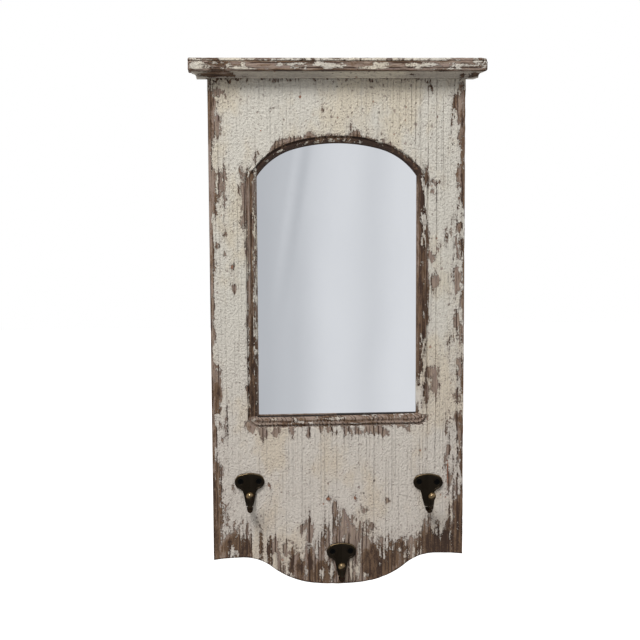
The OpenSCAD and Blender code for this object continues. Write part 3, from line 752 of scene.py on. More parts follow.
def metal(name, finish, bright, low, high, metallic=1.0, grain=1.0, specular=0.5):
    """Worn metal, with its least and greatest roughness. Pointiness tells its edges from its hollows."""
    material, shader, place = new_material(name)
    edge = put(place.tree, "NewGeometry", {})["Pointiness"].between(0.5, 0.58)
    wear = use(place.tree, "Metal wear", {
        "Place": place, "Finish": finish, "Bright": bright, "Edge": edge, "Grain size": grain,
        "Low roughness": low, "High roughness": high,
    })
    connect(shader, {
        "Base Color": wear["Colour"], "Roughness": wear["Roughness"], "Normal": bump(wear["Height"]),
        "Metallic": metallic, "Specular IOR Level": specular,
    })
    return material


# ---------------------------------------------------------------- Board
def foot_curve(board, pitch):
    """Lower edge from the middle of the belly to the right-hand corner: belly, flank, notch and shoulder,
    with common tangents found like the two links of an arm."""
    half = board.width / 2
    crest = half - board.crest_in
    link_a, link_b = board.belly_radius - board.flank_radius, board.flank_radius + board.notch_radius
    down = board.belly_radius + board.notch_radius - board.belly_drop - board.crest_rise
    reach, lean = math.hypot(crest, down), math.atan2(crest, down)
    turn = lean - math.acos((link_a**2 + reach**2 - link_b**2) / (2 * link_a * reach))
    tilt = lean + math.acos((link_b**2 + reach**2 - link_a**2) / (2 * link_b * reach))
    belly = np.array([0, board.belly_radius - board.belly_drop])
    flank = belly + link_a * np.array([math.sin(turn), -math.cos(turn)])
    notch = flank + link_b * np.array([math.sin(tilt), -math.cos(tilt)])
    turn, tilt = math.degrees(turn), math.degrees(tilt)
    shoulder = (board.crest_in**2 + board.crest_rise**2) / (2 * board.crest_rise)
    end = 90 - math.degrees(math.asin(board.crest_in / shoulder))
    return np.concatenate([
        arc(belly, board.belly_radius, -90, -90 + turn, pitch),
        arc(flank, board.flank_radius, -90 + turn, -90 + tilt, pitch, 1),
        arc(notch, board.notch_radius, 90 + tilt, 90, pitch, 1),
        arc([crest, board.crest_rise - shoulder], shoulder, 90, end, pitch, 1),
    ])


def board_outline(board, pitch):
    """The board's outline, anticlockwise from the middle of its foot."""
    half = board.width / 2
    foot = foot_curve(board, pitch)
    foot[-1] = half, 0
    side = line((half, 0), (half, board.height), pitch, 1)
    top = line((half, board.height), (0, board.height), pitch, 1)
    return mirrored(np.concatenate([foot, side, top]))


def opening_path(board, haunch_from, pitch):
    """Stations round the opening from the middle of its foot: a point, and the angle of the way into the
    wood. Also the height at which the arch springs."""
    def stations(points, angles):
        """Points with their angles."""
        return np.column_stack([points, np.broadcast_to(angles, len(points))])

    def corner(point, angles):
        """One point at which the way into the wood turns through some angles."""
        return stations(np.tile(point, (len(angles), 1)), angles)

    half, apex = board.width / 2 - board.stile, board.height - board.head
    between_radii = board.arch_radius - board.haunch_radius
    start = math.radians(haunch_from)
    crown = np.array([0, apex - board.arch_radius])
    haunch = crown + between_radii * np.array([math.sin(start), math.cos(start)])
    spring = math.degrees(math.acos((half - haunch[0]) / board.haunch_radius))
    spring_height = haunch[1] + board.haunch_radius * math.sin(math.radians(spring))
    parts = [
        stations(line((0, board.opening_foot), (half, board.opening_foot), pitch), -90),
        corner((half, board.opening_foot), np.linspace(-90, 0, 9)[1:]),
        stations(line((half, board.opening_foot), (half, spring_height), pitch, 1), 0),
        corner((half, spring_height), np.linspace(0, spring, 4)[1:]),
    ]
    for centre, radius, a0, a1 in [
        (haunch, board.haunch_radius, spring, 90 - haunch_from),
        (crown, board.arch_radius, 90 - haunch_from, 90),
    ]:
        points = arc(centre, radius, a0, a1, pitch, 1)
        parts.append(stations(points, np.linspace(a0, a1, len(points) + 1)[1:]))
    half_path = np.concatenate(parts)
    half_path[-1, 0] = 0
    other = (half_path * [-1, 1, -1] + [0, 0, 180])[-2:0:-1]
    return np.concatenate([half_path, other]), spring_height


def beside(path, distance):
    """Points at a distance into the wood from the stations of the opening."""
    a = np.radians(path[:, 2])
    return path[:, :2] + distance * np.stack([np.cos(a), np.sin(a)], 1)


def plan_loop(points):
    """A closed loop without the points that fall on their neighbours."""
    return points[np.linalg.norm(points - np.roll(points, 1, 0), axis=1) > 1e-4]


def pocket_loop(half, low, top, radius, pitch):
    """Outline of the glass's pocket, with the round corners that a cutter leaves."""
    across, foot, head = half - radius, low + radius, top - radius
    corners = [(across, foot), (across, head), (-across, head), (-across, foot)]
    bends = [arc(centre, radius, 90 * k - 90, 90 * k, pitch) for k, centre in enumerate(corners)]
    parts = []
    for bend, after in zip(bends, bends[1:] + bends[:1]):
        parts += [bend, line(bend[-1], after[0], pitch, 1)[:-1]]
    return np.concatenate(parts)


# Long open grain lines in the front face: distance right of the centre line, lowest and highest point
GRAIN_LINES = [
    (108, 60, 578), (-141, 470, 570), (-134, 150, 560), (66, 520, 574), (74, 508, 576), (81, 512, 574),
    (88, 508, 574), (93, 500, 574), (98, 495, 574), (118, 130, 576), (126, 420, 560), (133, 90, 520),
    (-60, 508, 570), (-78, 500, 560), (17, 520, 576), (24, 524, 576), (-30, 40, 150), (-52, 60, 150),
    (38, 60, 160), (67, 50, 150), (84, 20, 140), (99, 40, 168), (124, 20, 160), (-118, 60, 450),
]

# Height below which the foot has lost its paint, at distances from the centre line
FOOT_LOSS = [
    (-153, 32), (-142, 30), (-118, 34), (-107, 33), (-104, 2), (-98, -14), (-88, -22), (-70, -32),
    (-62, -26), (-50, -12), (-44, 2), (-36, 20), (-29, 16), (-20, 24), (-12, 32), (-2, 42), (10, 46),
    (20, 42), (30, 34), (37, 24), (45, 15), (60, 12), (68, 17), (80, 20), (97, 22), (101, 32), (106, 42),
    (112, 42), (117, 30), (126, 30), (133, 42), (140, 66), (147, 82), (153, 90),
]

# Width of the bare strip along the arch, at distances from the centre line
ARCH_LOSS = [
    (-103, 8.6), (-84, 8.6), (-79, 10), (-75, 16), (-63, 15.6), (-54, 14.7), (-45, 13.4), (-41.5, 9.6),
    (-38, 14.5), (-33, 15.5), (-27.6, 13.6), (-24, 9.2), (-20, 11.2), (-16, 9), (-12, 12), (-9, 9),
    (-4, 10.4), (0, 8.8), (12, 8.8), (15, 15), (21, 14.5), (24, 16.5), (28, 12), (31, 9), (37, 12), (41, 9),
    (48, 6.6), (56, 6.8), (62, 9.8), (68, 6.8), (74, 6.8), (90, 7), (103, 7),
]

# Width of the bare strip to the right of the opening, at heights above the lower corners
RIGHT_LOSS = [
    (176, 2), (186, 6), (218, 2), (226, 6), (290, 13), (330, 13.4), (400, 12.8), (415, 10.5), (430, 7.6),
    (446, 6.6), (453, 5), (458, 1.8),
]

# How bare the cove is to the left of the opening, at heights above the lower corners
LEFT_COVE = [(190, 1.6), (250, 0.8), (330, -0.1), (400, 0.4), (440, 1.4), (465, 3)]

# How bare the bead and cove are to the right of the opening, at heights above the lower corners
RIGHT_COVE = [
    (180, 0.2), (226, 0.8), (250, -0.2), (290, 2.6), (372, 2.6), (380, 0.4), (415, 0.4), (422, 2.6),
]

# How bare the cove is over the arch, at distances from the centre line
ARCH_COVE = [(-84, 2.6), (-74, 1.5), (-30, 1.5), (-22, 0.5), (26, 0.5), (32, 2.8)]

# Darkness of the wood to the left of the opening, at heights above the lower corners
LEFT_TONE = [(180, 0.8), (250, 0.66), (330, 0.18), (465, 0.12)]

# Width of the painted shade in the corner above the opening's foot, at distances from the centre line
LEDGE_SHADE = [(-85, 1.8), (85, 0.7)]

# Places where the paint has come away: centre, half-width and half-height
LOST_PATCHES = [
    # beside the top and the crown
    (-148, 533, 5, 32), (-142, 520, 4, 14), (-140, 560, 9, 3.5), (-151, 572, 2, 6), (-132, 554, 1.5, 3),
    (143, 549, 6, 12), (138, 545, 1.5, 14), (147.5, 530, 3.5, 38), (110, 570, 2.6, 8), (104, 576, 2, 1.6),
    (76, 574, 1.4, 2), (134, 574, 1, 2), (-130, 576, 17, 1.4), (-73, 577.5, 7, 1), (-53, 577, 3, 0.9),
    (-36, 577.5, 7, 1.1), (-28, 575, 1.4, 1.3), (4, 577.5, 5, 0.9), (31, 577, 8, 1), (62, 577.5, 4, 0.9),
    (92, 577, 6, 1.1), (-74, 545, 1.1, 0.8), (-19, 541, 1.1, 0.9), (40, 570, 1.1, 0.8), (54, 569, 1, 1),
    # over the arch
    (15, 516, 1.2, 5), (50, 505, 4, 1), (-96.5, 483, 1.8, 6), (-108, 464, 2, 6), (105.5, 462, 3.2, 10),
    (114, 454, 5, 1.8), (36, 514, 1.4, 1.6), (51, 513, 1.1, 1.7),
    # left stile
    (-149, 443, 6, 31), (-140, 452, 2, 10), (-134, 433, 1.2, 19), (-111, 430, 4.5, 30), (-123.5, 332, 3, 4),
    (-142.5, 382, 1.8, 2), (-126, 356, 1.4, 3.4), (-134.5, 368, 1.5, 2), (-147, 210, 6.5, 28),
    (-106, 163, 8, 8), (-142, 168, 3, 3), (-134.5, 178, 1, 6),
    # right stile
    (113.5, 441, 3.2, 3.6), (120, 376, 2, 3.5), (112, 367, 4, 6), (115.5, 334, 4, 12), (130, 390, 1.2, 5),
    (133, 394, 2.4, 1.6), (146, 460, 4, 13), (149, 436, 2.5, 11), (145, 400, 4, 5), (143, 384, 1.6, 9),
    (148, 382, 1.4, 8), (146, 366, 2.4, 4), (143.5, 340, 3.5, 20), (148, 308, 2.4, 7), (144, 288, 3.2, 11),
    (148, 272, 2.4, 8), (144, 240, 3, 5), (149, 225, 2.6, 30), (146, 170, 5, 11), (149, 148, 2.8, 16),
    (148, 121, 3, 5), (110, 225, 6, 6), (117, 214, 4.5, 17), (106, 205, 3.5, 12), (132, 128, 1.4, 22),
    (135, 92, 2.4, 12), (143, 84, 3.6, 8),
    # under the opening
    (-91, 158, 4, 9), (-76, 158, 6.5, 5.5), (-57, 158, 3.4, 6), (-36, 157, 2.4, 6), (-21, 160, 2.4, 4),
    (-12, 160, 3.4, 4), (-5, 155, 2, 2), (8, 157, 2, 6), (15, 157, 3, 6), (23, 157, 5, 5), (38, 156, 9, 6),
    (50, 157, 9, 5), (76, 164, 5, 4), (84, 160, 2, 5),
    # foot
    (-13, 73, 2.6, 2), (19.5, 73, 1.3, 3), (31, 59.5, 4, 2.6), (60.5, 67, 2.5, 2.3), (-85, 90.5, 1.3, 1.3),
    (42, 35, 3.6, 2.4), (52, 20, 3, 3), (33, 38, 1.8, 5), (-4.5, 58, 3.6, 12), (6, 46, 5, 13),
    (16.5, 46, 2.8, 8), (-36, 32, 4.4, 16), (-44, 36, 3, 4), (-18, 27, 2, 14), (-78, 19, 5.5, 9),
    (-73, 2, 3, 13), (-68, -9, 2, 10), (-85.3, 13, 1.7, 20), (-95.3, 14, 2.2, 18), (-61, 12, 8.5, 11),
    (-54, -8, 9, 14), (-148, 50, 6, 78), (-136, 52, 1.4, 6), (-128, 44, 1.6, 3), (-127, 86, 1.2, 5),
    (-137, 66, 2, 4),
]

# Islands of paint left inside the bare places
KEPT_PATCHES = [
    (-60.5, 15.5, 4.2, 4.6), (-131, 9, 3, 8), (-124, 8, 3.4, 3.4), (75.5, 8, 1.3, 12), (80.5, 6, 1.2, 10),
    (85, 3, 1.4, 9), (91, 5, 1.2, 8), (98.5, 3, 2, 6), (116, 42, 2.6, 12), (123, 40, 2.8, 12),
    (131, 62, 1.9, 26), (137.5, 50, 1.5, 20), (139, 72, 2.4, 5), (145, 37, 1.2, 3), (6, 24, 2.4, 4),
    (24, 8, 3.4, 10), (23, -13, 3.6, 9), (14.5, -16, 2.2, 15), (55, 3, 1.3, 2.6), (49.5, -10, 1.2, 1.2),
    (33, -22, 3.2, 3.6), (-45, 4, 4, 6), (-26, 8, 2.4, 8), (-14, 4, 2, 10), (-50, 13, 4, 3),
    (-8, -18, 2.4, 9), (-20, -20, 2.6, 6), (-42, -14, 2, 8), (-9, 30, 1.4, 8), (-101, 10, 4, 26),
    (-90, 10, 3, 22), (102, 412, 3, 6), (104, 405, 2, 5), (97, 200, 4, 19), (-98, 410, 0.9, 40),
]

# Places where the bare wood is dark: centre, half-width, half-height, and depth from 0.5, brown, to 1,
# nearly black
STAINED_PATCHES = [
    (44, -8, 17, 22, 0.75), (124, 14, 26, 20, 0.8), (148, 40, 7, 44, 0.75), (-124, 14, 20, 16, 0.6),
    (-148, 60, 6, 70, 0.6), (-151.5, 60, 1.5, 75, 0.9), (-58, -6, 2.6, 12, 1.2), (-51, -12, 3.4, 9, 0.95),
    (-46, -6, 1.4, 12, 1.2), (-35, -12, 2.6, 16, 1.15), (-95.3, 14, 2, 18, 1), (-85.3, 13, 1.8, 19, 1.05),
    (59, -6, 2.2, 18, 1.1), (72, 8, 2.4, 13, 1), (78, 4, 1.4, 11, 1), (83, 2, 1.2, 9, 1),
    (95, 8, 1.6, 9, 0.9), (129, 15, 1.2, 18, 1), (134, 22, 1.4, 22, 1), (141, 25, 1.6, 30, 1),
    (106, 10, 1.4, 14, 0.9), (-18.5, 27, 1.6, 13, 0.8), (-3, 28, 1.2, 20, 0.7), (-18, -18, 14, 14, 0.6),
    (66, -2, 8, 16, 0.6), (-148, 300, 4, 280, 0.22), (-145, 440, 3, 30, 0.3), (-150.5, 530, 1.2, 30, 0.6),
    (149, 470, 5, 95, 0.4), (151.5, 400, 1.2, 180, 0.9), (138.5, 548, 1.4, 14, 1),
    (-130, 576, 20, 1.8, 1.2), (110, 573, 3, 6, 1.1), (-148, 533, 2, 30, 0.8), (-146, 205, 3.5, 22, 0.7),
    (147, 168, 4, 12, 0.6), (130.5, 392, 2, 2.4, 1.1),
]

# Rusty marks: centre, half-width and half-height
RUSTY_MARKS = [
    (-13, 73, 2.4, 1.8), (19.5, 73.5, 1.4, 2.6), (-44, 555, 1.3, 1.9), (133, 104, 0.8, 16),
    (-126, 356, 1, 2.4), (-85, 90.5, 1.2, 1.2), (-91, 516, 1.2, 1.1),
]


def patch_field(x, h, patches):
    """Greatest signed distance, in millimetres, inside any of some upright ovals."""
    best = np.full(len(x), -30.0)
    for cx, ch, rx, rh in patches:
        r = np.sqrt(((x - cx) / rx) ** 2 + ((h - ch) / rh) ** 2)
        best = np.maximum(best, (1 - r) * min(rx, rh) * 0.8)
    return best


def board_places(board, path, spring_height, p):
    """What the board's wear goes by at each of its points."""
    x, h, out = p.T
    stations = path[:, :2]
    gap, station = nearest(p[:, :2], stations)
    bearing = path[station, 2]
    return SimpleNamespace(
        x=x, h=h, out=out, gap=gap, half=board.width / 2, height=board.height, thickness=board.thickness,
        # patches are drawn out unevenly along the grain
        bent=(
            x + 1.8 * cloud(x / 9, h / 16, 71) + 1.6 * cloud(x / 5, h / 5, 74),
            h + 7 * cloud(x / 4.5, h / 60, 72) + 3 * cloud(x / 9, h / 9, 73),
        ),
        # 1 over the arch and 0 beside and below the opening
        over=ease(h, spring_height - 12, spring_height + 14),
        below=(bearing < -45) & (bearing > -135) | (h < board.opening_foot),
        # width of the part of the band over the arch that paint has not filled up
        clear=8.2 - 1.7 * ease(x, 30, 50),
        foot_edge=h - np.interp(abs(x), *foot_curve(board, 4).T),
    )


def side_loss(at):
    """Strips along the two sides, which stop short of the crown."""
    x, h = at.x, at.h
    left = 4.6 + 2.2 * cloud(h / 30 + 3, 0 * h, 5) + 4 * ease(h, 105, 60)
    left = left - 3.2 * ease(h, 236, 246) * ease(h, 266, 258)
    right = 2.2 + 3.2 * cloud(h / 22, 0 * h, 11) + 2.5 * ease(h, 470, 480) + 4 * ease(h, 90, 60)
    return np.maximum(left - (x + at.half), right - (at.half - x)) - 7 * ease(h, 560, 564)


def band_loss(at):
    """The band round the opening: bare along the arch and the outer grooves, with cream left in the cove."""
    x, h, gap, over, below = at.x, at.h, at.gap, at.over, at.below
    left = 12.6 + 1.6 * mottle(h / 16, 0 * h, 41) + 2.4 * cloud(h / 7, x / 9, 55)
    reach = np.where(x > 0, along(h, RIGHT_LOSS), left) * (1 - over)
    reach = reach + over * (along(x, ARCH_LOSS) + 1.2 * cloud(x / 3, h / 5, 45))
    band = (np.where(below, 13.5, reach) - gap) * 0.8
    beside_it = ~below & (over < 0.5)
    pieces = along(h, LEFT_COVE) + 4.6 * cloud(x / 2.2, h / 6, 47)
    band = np.where(beside_it & (gap < 6.4) & (x < 0), pieces, band)
    flecks = np.minimum(band, along(h, RIGHT_COVE) + 4.2 * cloud(x / 2.4, h / 8, 46))
    band = np.where(beside_it & (gap > 3) & (gap < 10) & (x > 0), flecks, band)
    band = np.where(below, np.minimum(band, 1.9 + 5.0 * cloud(x / 11, h / 3.5, 48)), band)
    strip = (over > 0.5) & (gap < at.clear)
    band = np.where(strip, np.maximum(band, 3.5), band)
    flecks = np.minimum(band, along(x, ARCH_COVE) + 4.0 * cloud(x / 3.4, h / 2.2, 49))
    band = np.where(strip & (gap > 1.5) & (gap < 6.5), flecks, band)
    return np.where((gap < 1.2) & (at.out < 11) & ~below, 3, band)


def chip_loss(at):
    """Small chips, thick down the right stile, over the left of the foot and low on the left stile."""
    x, h = at.x, at.h
    thick = np.maximum.reduce([
        ease(x, 112, 138) * ease(h, 452, 420) * ease(h, 60, 90), 0.9 * ease(x, -88, -112) * ease(h, 108, 84),
        1.03 * ease(x, -122, -136) * ease(h, 200, 172) * ease(h, 60, 90),
    ])
    chips = thick * 7.6 - 9.1 + 2.2 * cloud(x / 4, h / 7, 53)
    # the paint has broken away in the grooves above the arch's right haunch
    for groove, low, high in GRAIN_LINES:
        if groove > 60 and high > 540:
            broken = (at.out > at.thickness - 0.4) & (abs(x - groove) < 0.3) & (h > low) & (h < high)
            chips = np.where(broken, 0.5 + 1.6 * cloud(h / 14, 0 * h, int(groove)), chips)
    return chips


def board_loss(at):
    """How far each point of the board lies beyond the edge of the paint, in millimetres."""
    x, h, out = at.x, at.h, at.out
    # the edge of the paint over the foot is ragged over some tens of millimetres
    foot = (along(x, FOOT_LOSS) - h) * 0.13
    lost = patch_field(*at.bent, LOST_PATCHES)
    bare = np.maximum.reduce([side_loss(at), foot, band_loss(at), lost, chip_loss(at)])
    bare = np.clip(np.minimum(bare, -patch_field(*at.bent, KEPT_PATCHES)), -9, 9)
    edge = (out < 16) & ((abs(x) > at.half - 0.4) | (h < 3) | (h > at.height - 0.5))
    bare = np.where(edge, np.maximum(bare, 5 - 7 * np.maximum(0, cloud(h / 30, out / 8, 51))), bare)
    bare = np.maximum(bare, 11 * ease(at.foot_edge, 2.2, 0.6) - 9)
    return np.where(out < 0.6, 9, bare)


def board_stain(at, bare):
    """How dark the bare wood is, from 0, weathered grey, through 0.5, brown, to 1, nearly black."""
    x, h, gap, over, below = at.x, at.h, at.gap, at.over, at.below
    from_side = at.half - abs(x)
    stained = (0.42 - 0.4 * ease(from_side, 6, 4) * ease(h, 110, 130)) * ease(bare, 1.5, 6)
    for *oval, depth in STAINED_PATCHES:
        stained = np.maximum(stained, depth * np.clip(0.5 + 0.2 * patch_field(*at.bent, [oval]), 0, 1))
    corner = ease(from_side, 1.6, 0.6) * (ease(h, 566, 560) * ease(h, 498, 508) + ease(h, 110, 90))
    stained = np.maximum(stained, 0.95 * np.maximum(ease(at.foot_edge, 2.6, 1.2), corner))
    # the band beside, below and over the opening
    near = ease(gap, 15, 12.5) * (1 - over) + over * ease(gap - at.clear, 1.2, 0.2)
    tone = np.where(x > 0, 0.84 - 0.5 * ease(gap, 8.8, 10.2), along(h, LEFT_TONE)) - 0.4 * ease(gap, 2.2, 1.2)
    tone = np.where(below, 0.14 + 0.7 * cloud(x / 16, h / 3, 44), tone)
    # over the arch the wood is darkened within 1.6 mm of the glass: painted shade under the arch's inner edge
    arch = np.where(abs(x + 2) < 25, 0.6, 1.0) + 0.5 * cloud(x / 5, h / 3, 52) + 0.5 * ease(gap, 1.6, 0.6)
    stained = stained * (1 - near) + near * (tone * (1 - over) + over * arch)
    # painted shade: the wood is darkened in the two grooves
    broken = np.clip(0.6 + 0.9 * cloud(x / 18, h / 18, 50), 0, 1)
    quirk = (ease(abs(gap - 7.3), 1.3, 0.7) + 0.2 * ease(abs(gap - 12.4), 1.0, 0.5)) * broken
    with_groove_shade = np.maximum(stained, quirk * np.where(below, 0.5, 1))
    return np.where((gap < 14) & (over < 0.5), with_groove_shade, stained)


def board_wear(at):
    """Where the board has lost its paint, where the wood is stained, and where it is rusty."""
    bare = board_loss(at)
    stained = board_stain(at, bare)
    # painted shade: the corner above the opening's foot is made black through a stained value of 2.8, as the
    # shade in the gap at the glass's lower edge
    ledge = at.below & (at.gap < along(at.x, LEDGE_SHADE))
    bare, stained = np.where(ledge, 9, bare), np.where(ledge, 2.8, stained)
    unseen = (at.out < 0.6) | (ease(at.out, 15.5, 12) > 0.5) & (at.gap > 14)
    rusty = np.clip(0.5 + 0.5 * patch_field(at.x, at.h, RUSTY_MARKS), 0, 1)
    return bare, np.where(unseen, 0.12, stained), rusty


def board_relief(at, bare, paint):
    """How far the board's points lie below its new face: lost paint, hollows, grooves and worn corners."""
    x, h, out, thick = at.x, at.h, at.out, at.thickness
    front = ease(out, thick - 1.5, thick - 0.1)
    amount = paint * ease(bare + 3 * cloud(x / 5, h / 16, 61), -0.7, 0.7) * ease(out, 0.5, 3)
    amount += front * 0.14 * (1 + cloud(x / 7, h / 18, 62))
    for groove, low, high in GRAIN_LINES:
        depth = 0.6 + 0.4 * mottle(h / 13, 0 * h, int(groove) + 400)
        run = ease(h, low, low + 12) * ease(h, high, high - 12) * depth
        amount += front * 0.6 * run * (abs(x - groove) < 0.3)
    corner = ease(at.half - abs(x), 2.2, 0) * ease(out, thick - 3.5, thick)
    amount += corner * np.maximum(0, cloud(h / 11, 0 * h, 63) + 0.1) * 0.7
    corner = ease(at.foot_edge, 2.4, 0) * ease(out, thick - 3.5, thick)
    amount += corner * np.maximum(0, cloud(x / 9, 0 * x, 64)) * 0.5
    return amount * ease(at.height - h, 0, 3)


def band_section(band, thick):
    """Section of the routed band from the face down to the opening and through it, as (distance from the
    opening, distance out)."""
    groove = (band.width - band.ledge - band.cove - 2 * band.bead) / 2
    bead, floor, foot = band.width - groove - band.bead, thick - band.quirk, thick - band.depth
    round_bead = np.radians(np.linspace(-14, 194, 12))
    up_cove = np.radians(np.linspace(90, 4, 9))
    rise = floor + 0.6 - foot
    return [
        (band.width + 1.3, thick), (band.width + 0.75, thick - 0.12), (band.width + 0.3, thick - 0.5),
        (band.width - 0.1, thick - 1.2),
        (band.width - 0.55, floor + 0.5), (band.width - 0.95, floor + 0.05), (bead + band.bead + 0.1, floor),
        *[(bead + band.bead * math.cos(a), floor + 0.9 + band.bead * math.sin(a)) for a in round_bead],
        (bead - band.bead - 0.1, floor), (bead - band.bead - 0.9, floor),
        (band.ledge + band.cove + 0.25, floor + 0.1),
        *[(band.ledge + band.cove * (1 - math.cos(a)), foot + rise * math.sin(a)) for a in up_cove],
        (band.ledge * 0.9, foot), (0, foot), (0, foot - 2), (0, thick - band.glass_depth),
    ]


def build_board():
    """The board's mesh."""
    settings = bpy.context.scene.hall_mirror
    board, band = in_mm(settings.board), in_mm(settings.band)
    thick = board.thickness
    skin = Skin()
    outline = board_outline(board, 2.1)
    normal = outward(outline)
    path, spring_height = opening_path(board, math.degrees(settings.board.haunch_from), 2.1)

    # edges of the board, from the worn front arris round to the back
    turns = np.radians(np.linspace(0, 90, 6))
    profile = [(board.arris * (1 - math.sin(a)), thick - board.arris * (1 - math.cos(a))) for a in turns]
    profile += [(0, z) for z in np.linspace(thick - board.arris, 0.7, 9)[1:]] + [(0.2, 0.2), (0.7, 0)]
    skin.sheet([at_depth(outline - inset * normal, z) for inset, z in profile], closed=True)

    # the routed band, whose bead and outer groove are filled up with paint over the arch
    section = band_section(band, thick)
    filled = ease(path[:, 1], spring_height - 2, spring_height + 10)
    start = 8.45 - 1.7 * ease(path[:, 0], 30, 50)
    rows = []
    for d, z in section:
        lift = filled * (thick - 0.1 - z) * ease((d - start) / 0.65, 0, 1)
        rows.append(np.column_stack([beside(path, d), z + lift]))
    skin.sheet(rows, closed=True)

    # front face
    hole = plan_loop(beside(path, section[0][0]))
    lines = [(x, low, high, 0.55) for x, low, high in GRAIN_LINES]
    skin.flat([outline - profile[0][0] * normal, hole], board.net, thick, lines)

    # pocket for the glass, and the back
    half = board.width / 2 - board.stile + band.reach
    low, top = board.opening_foot - band.reach, board.height - board.head + band.reach
    pocket = pocket_loop(half, low, top, band.corner, 4)
    depth = thick - band.glass_depth
    skin.flat([pocket, plan_loop(path[:, :2])], 4, depth)
    skin.sheet([at_depth(pocket, z) for z in (depth, depth / 2, 0)], closed=True)
    skin.flat([outline - profile[-1][0] * normal, pocket], 5, 0)

    mesh = skin.mesh("board")
    at = board_places(board, path, spring_height, places(mesh))
    bare, stained, rusty = board_wear(at)
    wear_away(mesh, board_relief(at, bare, 1000 * settings.paint.relief))
    keep_values(mesh, bare=bare, stained=stained, rusty=rusty)
    return mesh


class HALLMIRROR_OT_board(bpy.types.Operator):
    """Build the painted board with its scalloped foot, routed band and pocket"""

    bl_idname = "hall_mirror.board"
    bl_label = "Board"

    def execute(self, context):
        cream = context.scene.hall_mirror.paint.cream
        material = painted_wood("Chipped paint on board", "Z", 9.0, 1.0, 0.14, cream)
        set_up("board", build_board(), [material], "panel")
        return {"FINISHED"}


# ---------------------------------------------------------------- Crown
CAP_NAILS = (-0.85, -0.3, 0.3, 0.85)  # places of the cap's nails, as shares of half the board's width
CAP_GROOVE = 3.9  # depth of the groove's middle below the top of the cap, in millimetres

# Islands of paint on the crown's face: centre, half-width and half-height
CROWN_PAINT = [
    (-115, 586.5, 14, 2.2), (-127, 589.5, 4, 2.4), (-111, 591, 2.4, 3), (-98, 585.4, 10, 1),
    (-83, 585, 6, 1), (-69, 590.5, 2.6, 1.2), (-56, 591.3, 6, 1.3), (-45, 592, 5.5, 1.5),
    (-39, 587, 1.3, 1.2), (-24, 591, 6, 2.4), (-12, 589.5, 11, 3.4), (3, 590.3, 6, 2.4),
    (36.5, 586.5, 12, 2.4), (43.5, 590, 4.4, 3.4), (52, 589.7, 6.4, 3.8), (60, 585.8, 4, 1),
    (84, 590.3, 10, 2.2), (91, 587, 4, 1.8), (102, 590.7, 6, 2), (112, 590.8, 5.5, 1.5), (136, 586, 11, 2),
    (140, 589.9, 7, 1.6), (156, 590.2, 17, 1.7), (165, 594, 9, 1.3), (-163, 590, 10, 5),
    (-156, 586, 8, 2.2), (-142, 592.5, 6, 1.4),
]

# How bare the bead along the crown's upper edge is, at distances from the centre line
CROWN_BEAD = [
    (-174, 0.5), (-168, -1.6), (-152, -1.6), (-148, 1.5), (-142, 1.5), (-138, -2.5), (-112, -2.5),
    (-108, 1), (-64, 1), (-56, -2.8), (120, -2.8), (132, 1.5), (152, 1.5), (158, -0.6), (168, -0.6),
    (174, 1.5),
]

# Places where the front moulding is bare: centre, half-width and half-height
MOULDING_LOSS = [(-141, 580.5, 18, 4), (-128, 578.5, 14, 2), (158, 578, 3, 1.2), (146, 579, 1.6, 2.6)]


def crown_wear(x, h, top):
    """Where the crown's face has lost its paint: most of it, but not the bead along its upper edge."""
    bare = np.minimum(2.0 + 3.6 * cloud(x / 13, h / 2.6, 71), -1.6 * patch_field(x, h, CROWN_PAINT))
    bead = along(x, CROWN_BEAD) + 3.4 * cloud(x / 7, h / 2, 73)
    return np.clip(np.where(h > top - 3.4, bead, bare), -9, 9)


def cap_section(crown, low, top):
    """Section of the cap's edge from its lower face to its upper, as (inset, height)."""
    turned = np.radians(np.linspace(0, 90, 6))
    groove = top - CAP_GROOVE
    return [
        *[(crown.low_round * (1 - math.sin(a)), low + crown.low_round * (1 - math.cos(a))) for a in turned],
        *[(0, z) for z in np.linspace(low + crown.low_round, groove - 0.9, 7)[1:]],
        (0.1, groove - 0.5), (crown.groove, groove - 0.15), (crown.groove, groove + 0.15),
        (0.15, groove + 0.5), (0, groove + 0.9),
        *[(crown.top_round * (1 - math.cos(a)), top - crown.top_round * (1 - math.sin(a))) for a in turned],
    ]


def cap_edge(half, front):
    """Plan of the cap's edge, as (x, distance out), from the left end of the back round its worn corners
    to the right end, and the outward directions at its points."""
    bend = 3.4
    plan = np.concatenate([
        line((-half, 0), (-half, front - bend), 2.4),
        arc((-half + bend, front - bend), bend, 180, 90, 0.9, 1),
        line((-half + bend, front), (half - bend, front), 2.0, 1),
        arc((half - bend, front - bend), bend, 90, 0, 0.9, 1),
        line((half, front - bend), (half, 0), 2.4, 1),
    ])
    ahead = np.gradient(plan, axis=0)
    ahead /= np.linalg.norm(ahead, axis=1)[:, None]
    normal = np.stack([-ahead[:, 1], ahead[:, 0]], 1)
    normal[0], normal[-1] = (-1, 0), (1, 0)
    return plan, normal


def at_height(points, height):
    """A row of points in a skin from ones of (x, distance out) and one height."""
    return np.column_stack([points[:, 0], np.full(len(points), height), points[:, 1]])


